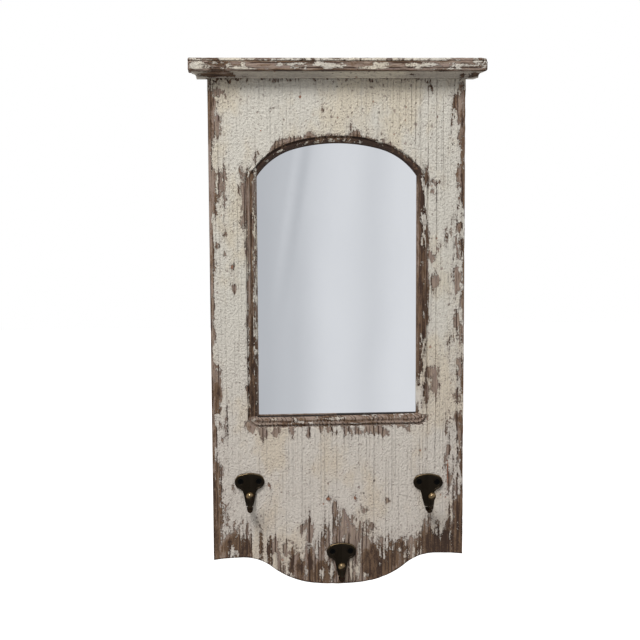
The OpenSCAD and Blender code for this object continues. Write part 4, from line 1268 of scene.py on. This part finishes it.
def cap_wear(p, low, top, half, front):
    """Where the cap is bare, how dark its bare wood is, and how far it is worn down."""
    x, h, out = p.T
    run = np.where(out < front - 4, x + np.sign(x) * (front - out), x)
    arris = ease(h - low, 2.2, 0.2)
    bare = crown_wear(run, h, top)
    upper = -1.5 + 5 * cloud(x / 22, out / 7, 77) + 3 * ease(out, front - 6, front - 1)
    bare = np.where(h > top - 0.3, upper, bare)
    bare = np.where(h < low + 0.3, 1 + 4 * cloud(x / 14, out / 6, 78), bare)
    bare = np.where(out < 0.4, 9, bare)
    bare = np.maximum(bare, 6 * arris - 1.5 + 2 * mottle(run / 5, 0 * h, 79))
    # the lower arris is darkened as worn wood, and the groove under the bead as painted shade
    arris_wear_and_groove_shade = 0.7 * arris + 0.8 * ease(abs(h - top + CAP_GROOVE), 1.1, 0.5)
    arris_wear_and_groove_shade = arris_wear_and_groove_shade * np.clip(0.5 + 1.2 * cloud(run / 20, 0 * h, 80), 0, 1)
    stained = np.clip(0.08 + 0.5 * cloud(run / 17, h / 3, 81) + arris_wear_and_groove_shade, 0, 1)
    stained = np.maximum(stained, 0.55 * ease(x, -122, -134) * ease(x, -156, -148) * (out > front - 3))
    amount = 0.25 * ease(bare + 2 * cloud(run / 5, h / 4, 82), -0.7, 0.7) * ease(out, 0.2, 2)
    chip = np.maximum(0, cloud(run / 8, out / 9, 83) + 0.1)
    amount += chip * arris * 1.3 * ease(out, 0.5, 4)
    amount += chip * 0.8 * ease(h, top - 1.6, top) * ease(front - out, 3, 0.5)
    # the upper corner on the right is knocked off
    amount += 1.6 * ease(h, top - 5, top - 0.5) * ease(np.hypot(half - x, front - out), 8, 1)
    return bare, stained, amount * (h > low + 0.02)


def build_cap():
    """The crown cap's mesh."""
    settings = bpy.context.scene.hall_mirror
    board, crown = in_mm(settings.board), in_mm(settings.crown)
    low, top = board.height, board.height + crown.thickness
    half, front = board.width / 2 + crown.overhang, board.thickness + crown.overhang
    plan, normal = cap_edge(half, front)
    rows = [at_height(plan - inset * normal, z) for inset, z in cap_section(crown, low, top)]
    skin = Skin()
    skin.sheet(rows)

    # lower face, and upper face with holes down to the nails' heads and past them
    nails = [(x * board.width / 2, board.thickness / 2) for x in CAP_NAILS]
    rings = [arc(nail, crown.nail + 0.06, 0, 360, 0.6)[:-1] for nail in nails]
    for row, holes in ((rows[0], []), (rows[-1], rings)):
        loop = row[:, [0, 2]]
        loop = np.concatenate([loop, line(loop[-1], loop[0], 3, 1)[:-1]])
        points, faces = fill_flat([loop] + holes, 2.6)
        z = row[0, 1]
        skin.add(at_height(points, z), faces.tolist())
        for ring in holes:
            wall = [at_height(ring, h) for h in (z, z - 0.6, z - 1.6)]
            skin.sheet(wall, closed=True)
            skin.lid(wall[-1])

    # back
    left, right = np.array(rows)[:, 0, :2], np.array(rows)[:, -1, :2]
    over, under = line(right[-1], left[-1], 3, 1)[:-1], line(left[0], right[0], 3, 1)[:-1]
    skin.flat([np.concatenate([right, over, left[::-1], under])], 4, 0)

    mesh = skin.mesh("crown_cap")
    bare, stained, amount = cap_wear(places(mesh), low, top, half, front)
    wear_away(mesh, amount)
    keep_values(mesh, bare=bare, stained=stained, rusty=0 * bare)
    return mesh


def mould_section(crown):
    """The moulding's section as (distance out, height above the cap's lower face), anticlockwise."""
    end = crown.mould_out + crown.mould_cove
    toe, top, foot = crown.mould_out - 0.25, end + 0.4, -(crown.mould_cove + 2 * crown.mould_fillet)
    return np.concatenate([
        line((0, 0), (0, foot), 2.5), line((0, foot), (toe, foot), 2.2, 1), [(crown.mould_out, foot + 0.3)],
        arc((end, -crown.mould_fillet - crown.mould_cove), crown.mould_cove, 180, 90, 0.9),
        [(top - 0.1, -crown.mould_fillet), (top, -crown.mould_fillet + 0.25), (top, -0.3), (top - 0.3, 0)],
        line((top - 0.3, 0), (0, 0), 2.5, 1)[:-1],
    ])


def build_moulding(which):
    """The mesh of one length of moulding, the front, left or right one, mitred at its corners."""
    settings = bpy.context.scene.hall_mirror
    board, crown = in_mm(settings.board), in_mm(settings.crown)
    half, in_front = board.width / 2, which == "front"
    reach, rise = mould_section(crown).T
    across, up, out = half + reach, board.height + rise, board.thickness + reach
    if in_front:
        rows = [np.column_stack([part * across, up, out]) for part in np.linspace(-1, 1, 150)]
    else:
        side = -1 if which == "left" else 1
        rows = [np.column_stack([side * across, up, part * out]) for part in np.linspace(0, 1, 16)]
    skin = Skin()
    skin.solid(rows)
    mesh = skin.mesh("crown_moulding_" + which)
    with edited(mesh) as work:
        bmesh.ops.triangulate(work, faces=[f for f in work.faces if len(f.verts) > 4])

    x, h, out = places(mesh).T
    run = x if in_front else out * 1.3 + 500
    stand = out - board.thickness if in_front else abs(x) - half
    bare = -3.2 + 4 * cloud(run / 20, h / 5, 91) + 1.5 * mottle(run / 5, h / 3, 92)
    bare = np.where(stand < 0.3, 9, bare)
    if in_front:
        bare = np.maximum(bare, patch_field(x, h, MOULDING_LOSS))
    stained = np.clip(0.7 + 0.5 * cloud(run / 12, h / 6, 93), 0, 1)
    edge = ease(stand, 0.5, 2) * ease(abs(x), half + stand, half + stand - 3)
    amount = edge * (0.2 * ease(bare, -0.7, 0.7) + 0.25 * np.maximum(0, cloud(run / 6, h / 3, 94)))
    wear_away(mesh, amount * (h < board.height - 0.02))
    keep_values(mesh, bare=bare, stained=stained, rusty=0 * x)
    return mesh


class HALLMIRROR_OT_crown_cap(bpy.types.Operator):
    """Build the crown's cap with its bead, groove and worn corners"""

    bl_idname = "hall_mirror.crown_cap"
    bl_label = "Crown cap"

    def execute(self, context):
        cream = context.scene.hall_mirror.paint.crown_cream
        material = painted_wood("Worn paint on crown", "X", 8.0, 0.3, 0.15, cream)
        set_up("crown_cap_piece", build_cap(), [material], "crown_cap")
        return {"FINISHED"}


class HALLMIRROR_OT_crown_mouldings(bpy.types.Operator):
    """Build the three lengths of cove moulding under the cap"""

    bl_idname = "hall_mirror.crown_mouldings"
    bl_label = "Crown mouldings"

    def execute(self, context):
        # the moulding's paint colour holds painted shade from the cap as well as dust
        cream = context.scene.hall_mirror.paint.grimy_cream
        material = painted_wood("Worn paint on moulding", "X", 6.0, 0.3, 0.25, cream)
        for which in ("front", "left", "right"):
            mesh, node = build_moulding(which), "crown_moulding_" + which
            set_up(f"moulding_{which}_piece", mesh, [material], node)
        return {"FINISHED"}


# ---------------------------------------------------------------- Mirror and backing
def mirror_materials():
    """Silvered glass, its ground edge and its backing paint."""
    look = bpy.context.scene.hall_mirror.metal
    silvered, shader, place = new_material("Silvered glass")
    haze = noise(place, 0.02, 4, 0.6, along=0.5).between(0.3, 0.7, 0.0, 0.12)
    connect(shader, {
        "Base Color": blend(haze, look.silver, (0.72, 0.74, 0.77)), "Metallic": 1.0,
        "Roughness": noise(place, 0.12, 5, 0.65).between(0.4, 0.75, 0.015, 0.05),
    })
    edge, shader, place = new_material("Glass edge")
    scratch = noise(stretch(place, (3, 3, 0.3)), 0.6, 3)
    connect(shader, {
        "Base Color": blend(scratch.between(0.3, 0.7, 0.0, 0.5), look.glass_edge, (0.05, 0.09, 0.07)),
        "Roughness": scratch.between(0.4, 0.6, 0.15, 0.4),
    })
    coat, shader, place = new_material("Grey backing paint")
    connect(shader, {
        "Base Color": blend(noise(place, 0.08, 4), (0.16, 0.17, 0.18), (0.22, 0.23, 0.24)),
        "Normal": bump(noise(place, 0.9, 3) * 0.1), "Roughness": 0.55,
    })
    return [silvered, edge, coat]


class HALLMIRROR_OT_mirror(bpy.types.Operator):
    """Build the mirror glass with its eased edges, silvering and backing paint"""

    bl_idname = "hall_mirror.mirror"
    bl_label = "Mirror"

    def execute(self, context):
        settings = context.scene.hall_mirror
        board, band = in_mm(settings.board), in_mm(settings.band)
        half = board.width / 2 - board.stile + band.reach - band.gap
        low = board.opening_foot - band.reach + band.gap
        top = board.height - board.head + band.reach - band.gap
        clip, eased, front = 0.7 * band.corner, 0.35, board.thickness - band.glass_depth
        right = [(half - clip, low), (half, low + clip), (half, top - clip), (half - clip, top)]
        loop = np.array([(-half + clip, low)] + right + [(-x, h) for x, h in right[:0:-1]])
        back = front - band.glass
        rings = [(eased, front), (0, front - eased), (0, back + eased), (eased, back)]
        skin = Skin()
        skin.solid([at_depth(loop - inset * outward(loop), z) for inset, z in rings])
        mesh = skin.mesh("mirror")
        set_up("mirror", mesh, mirror_materials(), "mirror_glass", sharp=20)
        for face in mesh.polygons:
            face.material_index = 0 if face.normal.y < -0.99 else 2 if face.normal.y > 0.99 else 1
        return {"FINISHED"}


class HALLMIRROR_OT_backing(bpy.types.Operator):
    """Finish the card and hardboard behind the glass"""

    bl_idname = "hall_mirror.backing"
    bl_label = "Backing"

    def execute(self, context):
        look = context.scene.hall_mirror.metal
        card, shader, place = new_material("Cushion card")
        fibre = noise(place, 0.8, 4, 0.7, along=3)
        connect(shader, {
            "Base Color": blend(fibre, look.card, (0.30, 0.22, 0.13)), "Normal": bump(fibre * 0.06),
            "Roughness": 0.9,
        })
        finish_node("cushion_sheet", card)

        board, shader, place = new_material("Hardboard")
        net = {"Vector": place, "Scale": 0.55, "Randomness": 0.25}
        screen = put(place.tree, "TexVoronoi", net)["Distance"]
        chip = noise(place, 0.5, 5, 0.7)
        tone = blend(chip.between(0.35, 0.7), look.hardboard, (0.105, 0.055, 0.028))
        tone = blend(noise(place, 0.02, 3).between(0.35, 0.7, 0.0, 0.4), tone, (0.28, 0.17, 0.09))
        connect(shader, {
            "Base Color": tone, "Normal": bump(screen * 0.18 + chip * 0.12),
            "Roughness": chip.between(0.3, 0.7, 0.62, 0.85),
        })
        finish_node("backing_board", board)
        return {"FINISHED"}


# ---------------------------------------------------------------- Hooks
# Half-width and half-depth of the prong at stations: 0 stem's top, 1 bend's start, 2 bend's end, 3 ball
PRONG_WIDTH = [(1, 6.1), (1.25, 4.4), (1.5, 3.0), (2, 2.7), (2.6, 2.9), (3, 3.4)]
PRONG_DEPTH = [(0, 1.0), (0.45, 1.7), (1, 2.3), (1.25, 2.4), (1.5, 2.3), (2, 2.5), (2.6, 2.7), (3, 3.2)]
STEM_OUT = 3.6  # distance of the prong's centre line from the board where the bend begins, in millimetres


def plate_loop(hook, pitch):
    """Outline of a hook's plate about the midpoint between its screws, clockwise."""
    taper = 12
    ear = np.array([hook.ear_x, -0.6])
    top = np.array([0, ear[1] - math.sqrt((hook.top - hook.ear) ** 2 - hook.ear_x**2)])
    top_angle = math.degrees(math.atan2(ear[0], ear[1] - top[1]))
    n = np.array([math.cos(math.radians(taper)), -math.sin(math.radians(taper))])
    edge_off = hook.stem * n[0] + 15 * -n[1] + hook.waist
    gap = edge_off - n @ ear
    slide = math.sqrt((hook.ear + hook.waist) ** 2 - gap**2)
    waist = ear + gap * n + slide * np.array([n[1], -n[0]])
    waist_angle = math.degrees(math.atan2(waist[1] - ear[1], waist[0] - ear[0]))
    end = waist - [9 * -n[1], 9 * n[0]] - hook.waist * n
    return mirrored(np.concatenate([
        arc(top, hook.top, 90, 90 - top_angle, pitch),
        arc(ear, hook.ear, 90 - top_angle, waist_angle, pitch, 1),
        arc(waist, hook.waist, 180 + waist_angle, 180 - taper, pitch, 1),
        line(waist - hook.waist * n, end, pitch, 1), line(end, (0, end[1] - 1.5), pitch, 1),
    ]))


def plate_height(hook, points, loop):
    """Height of the plate's face: a raised rim, a hollow field and a soft keel, with countersinks."""
    x, y = points.T
    inset = nearest(points, loop)[0]
    inset = inset * (1 - ease(y, -13, -17)) + 4 * ease(y, -13, -17)
    z = hook.plate - 1.3 + 1.3 * np.sqrt(np.clip(1 - (1 - np.clip(inset / 1.1, 0, 1)) ** 2, 0, 1))
    z -= 0.75 * ease(inset, 1.5, 2.2)
    z += 0.95 * np.exp(-((x / 2.6) ** 2)) * ease(inset, 1.6, 3.0)
    for side in (-1, 1):
        r = np.hypot(x - side * hook.pitch / 2, y)
        boss = 0.28 * np.exp(-(((r - hook.sunk_head - 0.7) / 0.6) ** 2))
        z = np.where(r < hook.sunk_head + 0.18, 1.0, z + boss)
    return np.maximum(z, 0.5)


def prong_centre(hook, u):
    """Centre line of the prong and its direction, as (height, distance out), at a station."""
    stem_top, start = 5, 1.6
    if u <= 1:
        out = start + (STEM_OUT - start) * u * u * (3 - 2 * u)
        return (-stem_top - (hook.bend_drop - stem_top) * u, out), (-1, 0)
    if u <= 2:
        a = math.pi * (u - 1)
        centre = -hook.bend_drop - hook.bend * math.sin(a), STEM_OUT + hook.bend - hook.bend * math.cos(a)
        return centre, (-math.cos(a), math.sin(a))
    return (-hook.bend_drop + (hook.bend_drop - hook.ball_drop) * (u - 2), STEM_OUT + 2 * hook.bend), (1, 0)


def prong_rows(hook, lean):
    """Closed rows of points round the prong. In the stem the front of its section rises to a ridge."""
    t = np.radians(np.arange(0, 360, 360 / 32))
    cross = np.sin(t)
    ridge = np.where(cross > 0, np.sign(cross) * (1 - np.abs(np.cos(t)) ** 1.15), cross)
    rows = []
    for u in np.concatenate([np.linspace(0, 1, 12), np.linspace(1, 2, 26)[1:], np.linspace(2, 3, 10)[1:]]):
        (h, out), (dh, dout) = prong_centre(hook, u)
        keeled = 1 - ease(u, 1.3, 1.9)
        half = along(u, [(0, hook.stem + 0.6), (0.45, hook.stem - 0.3)] + PRONG_WIDTH)
        w = along(u, PRONG_DEPTH) * (cross * (1 - keeled) + ridge * keeled)
        x = lean * ease(u, 0.6, 2.6) + half * np.cos(t)
        rows.append(np.column_stack([x, h - w * dout, out - w * dh]))
    return rows


def joined(skins):
    """One mesh of several closed skins, in millimetres."""
    whole = bmesh.new()
    for skin in skins:
        mesh = bpy.data.meshes.new("part")
        mesh.from_pydata(np.concatenate(skin.points).tolist(), [], skin.faces)
        with edited(mesh) as work:
            bmesh.ops.remove_doubles(work, verts=work.verts, dist=1e-4)
            bmesh.ops.recalc_face_normals(work, faces=work.faces)
        whole.from_mesh(mesh)
        bpy.data.meshes.remove(mesh)
    mesh = bpy.data.meshes.new("casting")
    whole.to_mesh(mesh)
    whole.free()
    return mesh


def fused(mesh, grain):
    """One skin round the crossing parts of a mesh, smoothed."""
    rough = new_object("casting", mesh)
    fuse = rough.modifiers.new("Fuse", "REMESH")
    fuse.mode, fuse.voxel_size = "VOXEL", grain
    soften = rough.modifiers.new("Soften", "SMOOTH")
    soften.factor, soften.iterations = 0.5, 4
    made = bpy.data.meshes.new_from_object(rough.evaluated_get(bpy.context.evaluated_depsgraph_get()))
    bpy.data.objects.remove(rough)
    bpy.data.meshes.remove(mesh)
    return made


def build_hook(name, centre, height, turn, lean):
    """One cast hook, whose ball leans a little to one side."""
    settings = bpy.context.scene.hall_mirror
    hook, board = in_mm(settings.hook), in_mm(settings.board)
    loop = plate_loop(hook, 0.7)
    points, faces = fill_flat([loop], 0.55)
    front, back = np.column_stack([points, plate_height(hook, points, loop)]), at_depth(points, 0)
    plate, prong, ball = Skin(), Skin(), Skin()
    plate.add(front, faces.tolist())
    plate.add(back, faces[:, ::-1].tolist())
    plate.sheet([front[:len(loop)], back[:len(loop)]], closed=True)
    ball_out = STEM_OUT + 2 * hook.bend
    round_ball = np.radians(np.arange(0, 360, 15))
    circles = [
        np.column_stack([
            lean + hook.ball * np.cos(round_ball) * math.cos(e),
            np.full(24, -hook.ball_drop + hook.ball * 1.02 * math.sin(e)),
            ball_out + hook.ball * np.sin(round_ball) * math.cos(e),
        ])
        for e in np.radians(np.linspace(-89, 89, 16))
    ]
    prong.solid(prong_rows(hook, lean))
    ball.solid(circles)
    mesh = fused(joined([plate, prong, ball]), hook.grain)

    # hands have rubbed the finish bright on the plate's upper rim, on the ball, and a little on the prong;
    # the value also paints highlight and shade: the rim is brightest at its top and the ball on its upper
    # left, toward the lamp, with its lower half darker
    x, y, z = vertex_values(mesh.vertices, "co").T
    inset = nearest(np.stack([x, y], 1), loop)[0]
    rim = ease(inset, 1.5, 0.5) * ease(z, 0.9, 1.9) * ease(z, 4.2, 3.4) * (0.25 + 0.75 * ease(y, -4, 6))
    from_ball = np.sqrt((x - lean) ** 2 + (y + hook.ball_drop) ** 2 + (z - ball_out) ** 2)
    # painted highlight and shade: the ball is lighter on its upper left and darker below
    upper = 0.25 + 0.75 * ease(y + hook.ball_drop - 0.4 * (x - lean), -2.5, 1.5)
    ball_wear_and_highlight = ease(from_ball, hook.ball + 1.4, hook.ball + 0.2) * upper
    keep_values(mesh, rubbed=np.maximum.reduce([0.7 * rim, 0.74 * ball_wear_and_highlight, 0.12 * ease(z, 12, 25)]))

    place = Matrix.Translation((centre / 1000, -board.thickness / 1000, (height - HANG_HEIGHT) / 1000))
    flat = Matrix(((0.001, 0, 0, 0), (0, 0, -0.001, 0), (0, 0.001, 0, 0), (0, 0, 0, 1)))
    mesh.transform(place @ Matrix.Rotation(-turn, 4, "Y") @ flat)
    mesh.name = name
    return mesh


def bronze_material():
    """Dark bronze, bright where the mesh's brightened value is high: rubbed bronze and painted highlight."""
    look = bpy.context.scene.hall_mirror.metal
    bronze, shader, place = new_material("Antique bronze")
    worn = (noise(place, 0.5, 4, 0.6) - 0.5).math("MULTIPLY_ADD", 0.45, attribute(place.tree, "rubbed"))
    cast = noise(place, 1.1, 3, 0.55)
    tone = blend(worn.between(0.2, 1.1), look.bronze, look.rubbed)
    connect(shader, {
        "Base Color": blend(cast.between(0.5, 0.75, 0.0, 0.35), tone, (0.004, 0.003, 0.002)),
        "Roughness": worn.between(0.0, 1.0, 0.36, 0.25), "Normal": bump(cast * 0.05), "Metallic": 0.9,
        "Specular IOR Level": 0.2, "Specular Tint": (0.45, 0.34, 0.22),
    })
    return bronze


class HALLMIRROR_OT_hooks(bpy.types.Operator):
    """Build the three cast hooks and blacken their screws"""

    bl_idname = "hall_mirror.hooks"
    bl_label = "Hooks"

    def execute(self, context):
        settings = context.scene.hall_mirror
        hook, half = in_mm(settings.hook), 500 * settings.board.width
        bronze = bronze_material()
        for name, *values in [
            ("left", hook.left_in - half, hook.left_height, 0.0, -0.2),
            ("mid", hook.mid_x, hook.mid_height, 0.0, -1.6),
            ("right", half - hook.right_in, hook.right_height, settings.hook.right_turn, 1.8),
        ]:
            mesh = build_hook("cast_hook_" + name, *values)
            set_up("cast_hook_" + name, mesh, [bronze], "hook_" + name, sharp=70)
        soot = (0.002, 0.002, 0.002)
        black = settings.metal.blackened
        screws = metal("Blackened steel", black, soot, 0.8, 0.9, metallic=0.0, specular=0.04)
        finish_node("hook_screws", screws, 30)
        return {"FINISHED"}


# ---------------------------------------------------------------- Fixings
class HALLMIRROR_OT_fixings(bpy.types.Operator):
    """Finish the nails, brads, turn buttons, hangers, screws and wall pads"""

    bl_idname = "hall_mirror.fixings"
    bl_label = "Fixings"

    def execute(self, context):
        look = context.scene.hall_mirror.metal
        steel = metal("Dull nail steel", look.steel, (0.4, 0.38, 0.36), 0.4, 0.65)
        zinc = metal("Zinc plate", look.zinc, (0.75, 0.75, 0.74), 0.25, 0.45, grain=0.6)
        screw = metal("Zinc screws", look.zinc, (0.8, 0.8, 0.8), 0.22, 0.4, grain=1.5)
        rubber, shader, place = new_material("Soft rubber")
        dust = noise(place, 0.9, 4, 0.7)
        connect(shader, {
            "Base Color": blend(dust.between(0.5, 0.75, 0.0, 0.5), look.rubber, (0.08, 0.075, 0.07)),
            "Roughness": dust.between(0.3, 0.7, 0.55, 0.8), "Normal": bump(dust * 0.06),
        })
        finishes = {
            "crown_nails": steel, "moulding_brads": steel, "turn_button_screws": screw,
            "hanger_screws": screw, "wall_pads": rubber,
        }
        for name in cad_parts:
            if name in finishes:
                finish_node(name, finishes[name], 30)
            elif name.startswith(("turn_button", "hanger")):
                finish_node(name, zinc, 30)
        return {"FINISHED"}


# ---------------------------------------------------------------- Stage
class HALLMIRROR_OT_shader_groups(bpy.types.Operator):
    """Build the shader groups that the materials share"""

    bl_idname = "hall_mirror.shader_groups"
    bl_label = "Shader groups"

    def execute(self, context):
        group_wood_grain()
        group_chipped_paint()
        group_metal_wear()
        return {"FINISHED"}


class HALLMIRROR_OT_camera(bpy.types.Operator):
    """Place the camera before the mirror, a little below eye level and to the left"""

    bl_idname = "hall_mirror.camera"
    bl_label = "Camera"

    def execute(self, context):
        yaw, pitch, roll = 0.0733856, -0.111395, -0.0049729
        place = Matrix.Translation((-0.1395, -1.6181, -0.069))
        ahead = (math.sin(yaw) * math.cos(pitch), math.cos(yaw) * math.cos(pitch), math.sin(pitch))
        ahead, level = Vector(ahead), Vector((math.cos(yaw), -math.sin(yaw), 0))
        upright = level.cross(ahead)
        right = level * math.cos(roll) + upright * math.sin(roll)
        up = upright * math.cos(roll) - level * math.sin(roll)
        data = bpy.data.cameras.new("Camera")
        data.lens, data.sensor_width, data.clip_end = 1000 * context.scene.hall_mirror.stage.lens, 36, 60
        camera = new_object("Camera", data)
        camera.matrix_world = place @ Matrix((right, up, -ahead)).transposed().to_4x4()
        context.scene.camera = camera
        return {"FINISHED"}


# Light and shade of the curtain's folds: place from left to right, and level
FOLDS = [
    (0.04, 0.0), (0.17, 0.2), (0.24, 0.3), (0.305, 0.3), (0.36, 0.52), (0.42, 0.74), (0.48, 0.88),
    (0.57, 0.92), (0.65, 0.78), (0.72, 0.62), (0.79, 0.78), (0.87, 0.96), (0.97, 1.0),
]


def background_share(tree):
    """One for rays that should see the plain background: the camera's, mirrored and let through."""
    path = put(tree, "LightPath", {})
    seen = path["Is Camera Ray"].math("MAXIMUM", path["Is Glossy Ray"])
    return seen.math("MAXIMUM", path["Is Transmission Ray"])


def stage_piece(name, points, faces, material):
    """An object that belongs to the stage."""
    mesh = bpy.data.meshes.new(name)
    mesh.from_pydata(points, [], faces)
    mesh.materials.append(material)
    return new_object(name, mesh)


def floor_material(look):
    """Pale floor that looks evenly lit to the camera."""
    material, shader, place = new_material("Pale floor")
    screed = noise(place, 0.004, 4).between(0.3, 0.7, 0.0, 0.3)
    connect(shader, {
        "Base Color": blend(screed, look.floor_grey, (0.9, 0.9, 0.9)), "Roughness": 0.9,
        "Emission Color": (1, 1, 1), "Emission Strength": background_share(place.tree) * 0.9,
    })
    return material


def curtain_material(look):
    """White cloth that glows: soft folds, darker towards the left, and one slanting gather."""
    material = bpy.data.materials.new("Curtain")
    tree = empty_tree(material)
    place = put(tree, "TexCoord", {})["Object"]
    axes = put(tree, "SeparateXYZ", {0: place})
    drift = noise(stretch(place, (1.5, 0, 1.2)), 1.0, 2)
    across = axes[0] + (drift - 0.5) * 0.12 - axes[2] * 0.03
    ramp_node = add_node(tree, "ValToRGB", {0: across.math("MULTIPLY_ADD", 1.667, 0.083)})
    ramp = ramp_node.color_ramp
    ramp.interpolation = "B_SPLINE"
    for spot, level in FOLDS:
        ramp.elements.new(spot).color = (level, level, level, 1)
    ramp.elements.remove(ramp.elements[0])
    gather = axes[0] - axes[2].math("MULTIPLY_ADD", 0.155, 0.125)
    bright = abs(gather).between(0.022, 0.0, 0.0, 0.2)
    dark = abs(gather - 0.034).between(0.024, 0.0, 0.0, -0.2)
    gathered = (bright + dark) * axes[2].between(-0.7, -0.1)
    fine = (noise(stretch(place, (1, 0, 0.15)), 9.0, 2) - 0.5) * 0.16
    shade = (Signal(tree, ramp_node.outputs[0]) + gathered).math("ADD", fine, clamp=True)
    glow = put(tree, "Emission", {"Color": blend(shade, look.curtain_shade, look.curtain), "Strength": 1.0})
    add_node(tree, "OutputMaterial", {0: glow[0]})
    return material


class HALLMIRROR_OT_stage(bpy.types.Operator):
    """Set up the floor, the curtain that shows in the mirror, the room light and the lamp"""

    bl_idname = "hall_mirror.stage"
    bl_label = "Stage"

    def execute(self, context):
        scene, look = context.scene, context.scene.hall_mirror.stage
        scene.view_settings.view_transform = "Standard"
        world = bpy.data.worlds.new("Room light")
        scene.world = world
        tree = empty_tree(world)
        strength = background_share(tree).between(0.0, 1.0, look.room, 1.0)
        light = put(tree, "Background", {"Color": (1, 1, 1), "Strength": strength})
        add_node(tree, "OutputWorld", {0: light[0]})

        size, low = 14, -look.floor_drop
        corners = [(-size, -size, low), (size, -size, low), (size, size, low), (-size, size, low)]
        floor = stage_piece("floor", corners, [(0, 1, 2, 3)], floor_material(look))

        # a curtain hung in a half circle before the mirror, which only mirrored rays see
        steps, radius, top = 120, 3.0, 2.6
        points = []
        for z in (low, top):
            for a in [math.pi * (1 + k / steps) for k in range(steps + 1)]:
                wavy = radius + 0.05 * math.sin(31 * a)
                points.append((wavy * math.cos(a), wavy * math.sin(a), z))
        faces = [(k, k + 1, steps + k + 2, steps + k + 1) for k in range(steps)]
        curtain = stage_piece("curtain", points, faces, curtain_material(look))
        curtain.visible_camera = curtain.visible_diffuse = False
        curtain.visible_shadow = curtain.visible_transmission = False

        lamp = bpy.data.lights.new("Lamp", "AREA")
        lamp.energy, lamp.shape, lamp.size, lamp.size_y = look.lamp, "RECTANGLE", 1.0, 1.0
        holder = new_object("Lamp", lamp)
        place, target = Vector((-0.95, -1.75, 2.0)), Vector((0, 0, -0.25))
        aim = (target - place).to_track_quat("-Z", "Y").to_matrix().to_4x4()
        holder.matrix_world = Matrix.Translation(place) @ aim
        return {"FINISHED"}


# ---------------------------------------------------------------- Panel and registration
STEPS = (
    "shader_groups", "camera", "board", "crown_cap", "crown_mouldings", "mirror", "backing", "hooks",
    "fixings", "stage",
)


class HALLMIRROR_PT_panel(bpy.types.Panel):
    """Lists the pieces of the hall mirror and its settings"""

    bl_label = "Hall mirror"
    bl_idname = "HALLMIRROR_PT_panel"
    bl_space_type = "VIEW_3D"
    bl_region_type = "UI"
    bl_category = "Hall mirror"

    def draw(self, context):
        for step in STEPS:
            self.layout.operator("hall_mirror." + step)
        settings = context.scene.hall_mirror
        for label in ("board", "band", "crown", "hook", "paint", "metal", "stage"):
            group = getattr(settings, label)
            box = self.layout.box()
            box.label(text=label.capitalize())
            for name in group.__annotations__:
                box.prop(group, name)


CLASSES = (
    BoardSizes, BandSizes, CrownSizes, HookSizes, PaintLook, MetalLook, StageLook, HallMirror,
    HALLMIRROR_OT_shader_groups, HALLMIRROR_OT_camera, HALLMIRROR_OT_board, HALLMIRROR_OT_crown_cap,
    HALLMIRROR_OT_crown_mouldings, HALLMIRROR_OT_mirror, HALLMIRROR_OT_backing, HALLMIRROR_OT_hooks,
    HALLMIRROR_OT_fixings, HALLMIRROR_OT_stage, HALLMIRROR_PT_panel,
)


def register():
    for made in CLASSES:
        bpy.utils.register_class(made)
    bpy.types.Scene.hall_mirror = PointerProperty(type=HallMirror)


def unregister():
    del bpy.types.Scene.hall_mirror
    for made in reversed(CLASSES):
        bpy.utils.unregister_class(made)


def main():
    """Builds every piece and the stage."""
    register()
    for step in STEPS:
        getattr(bpy.ops.hall_mirror, step)()


if __name__ == "__main__":
    main()
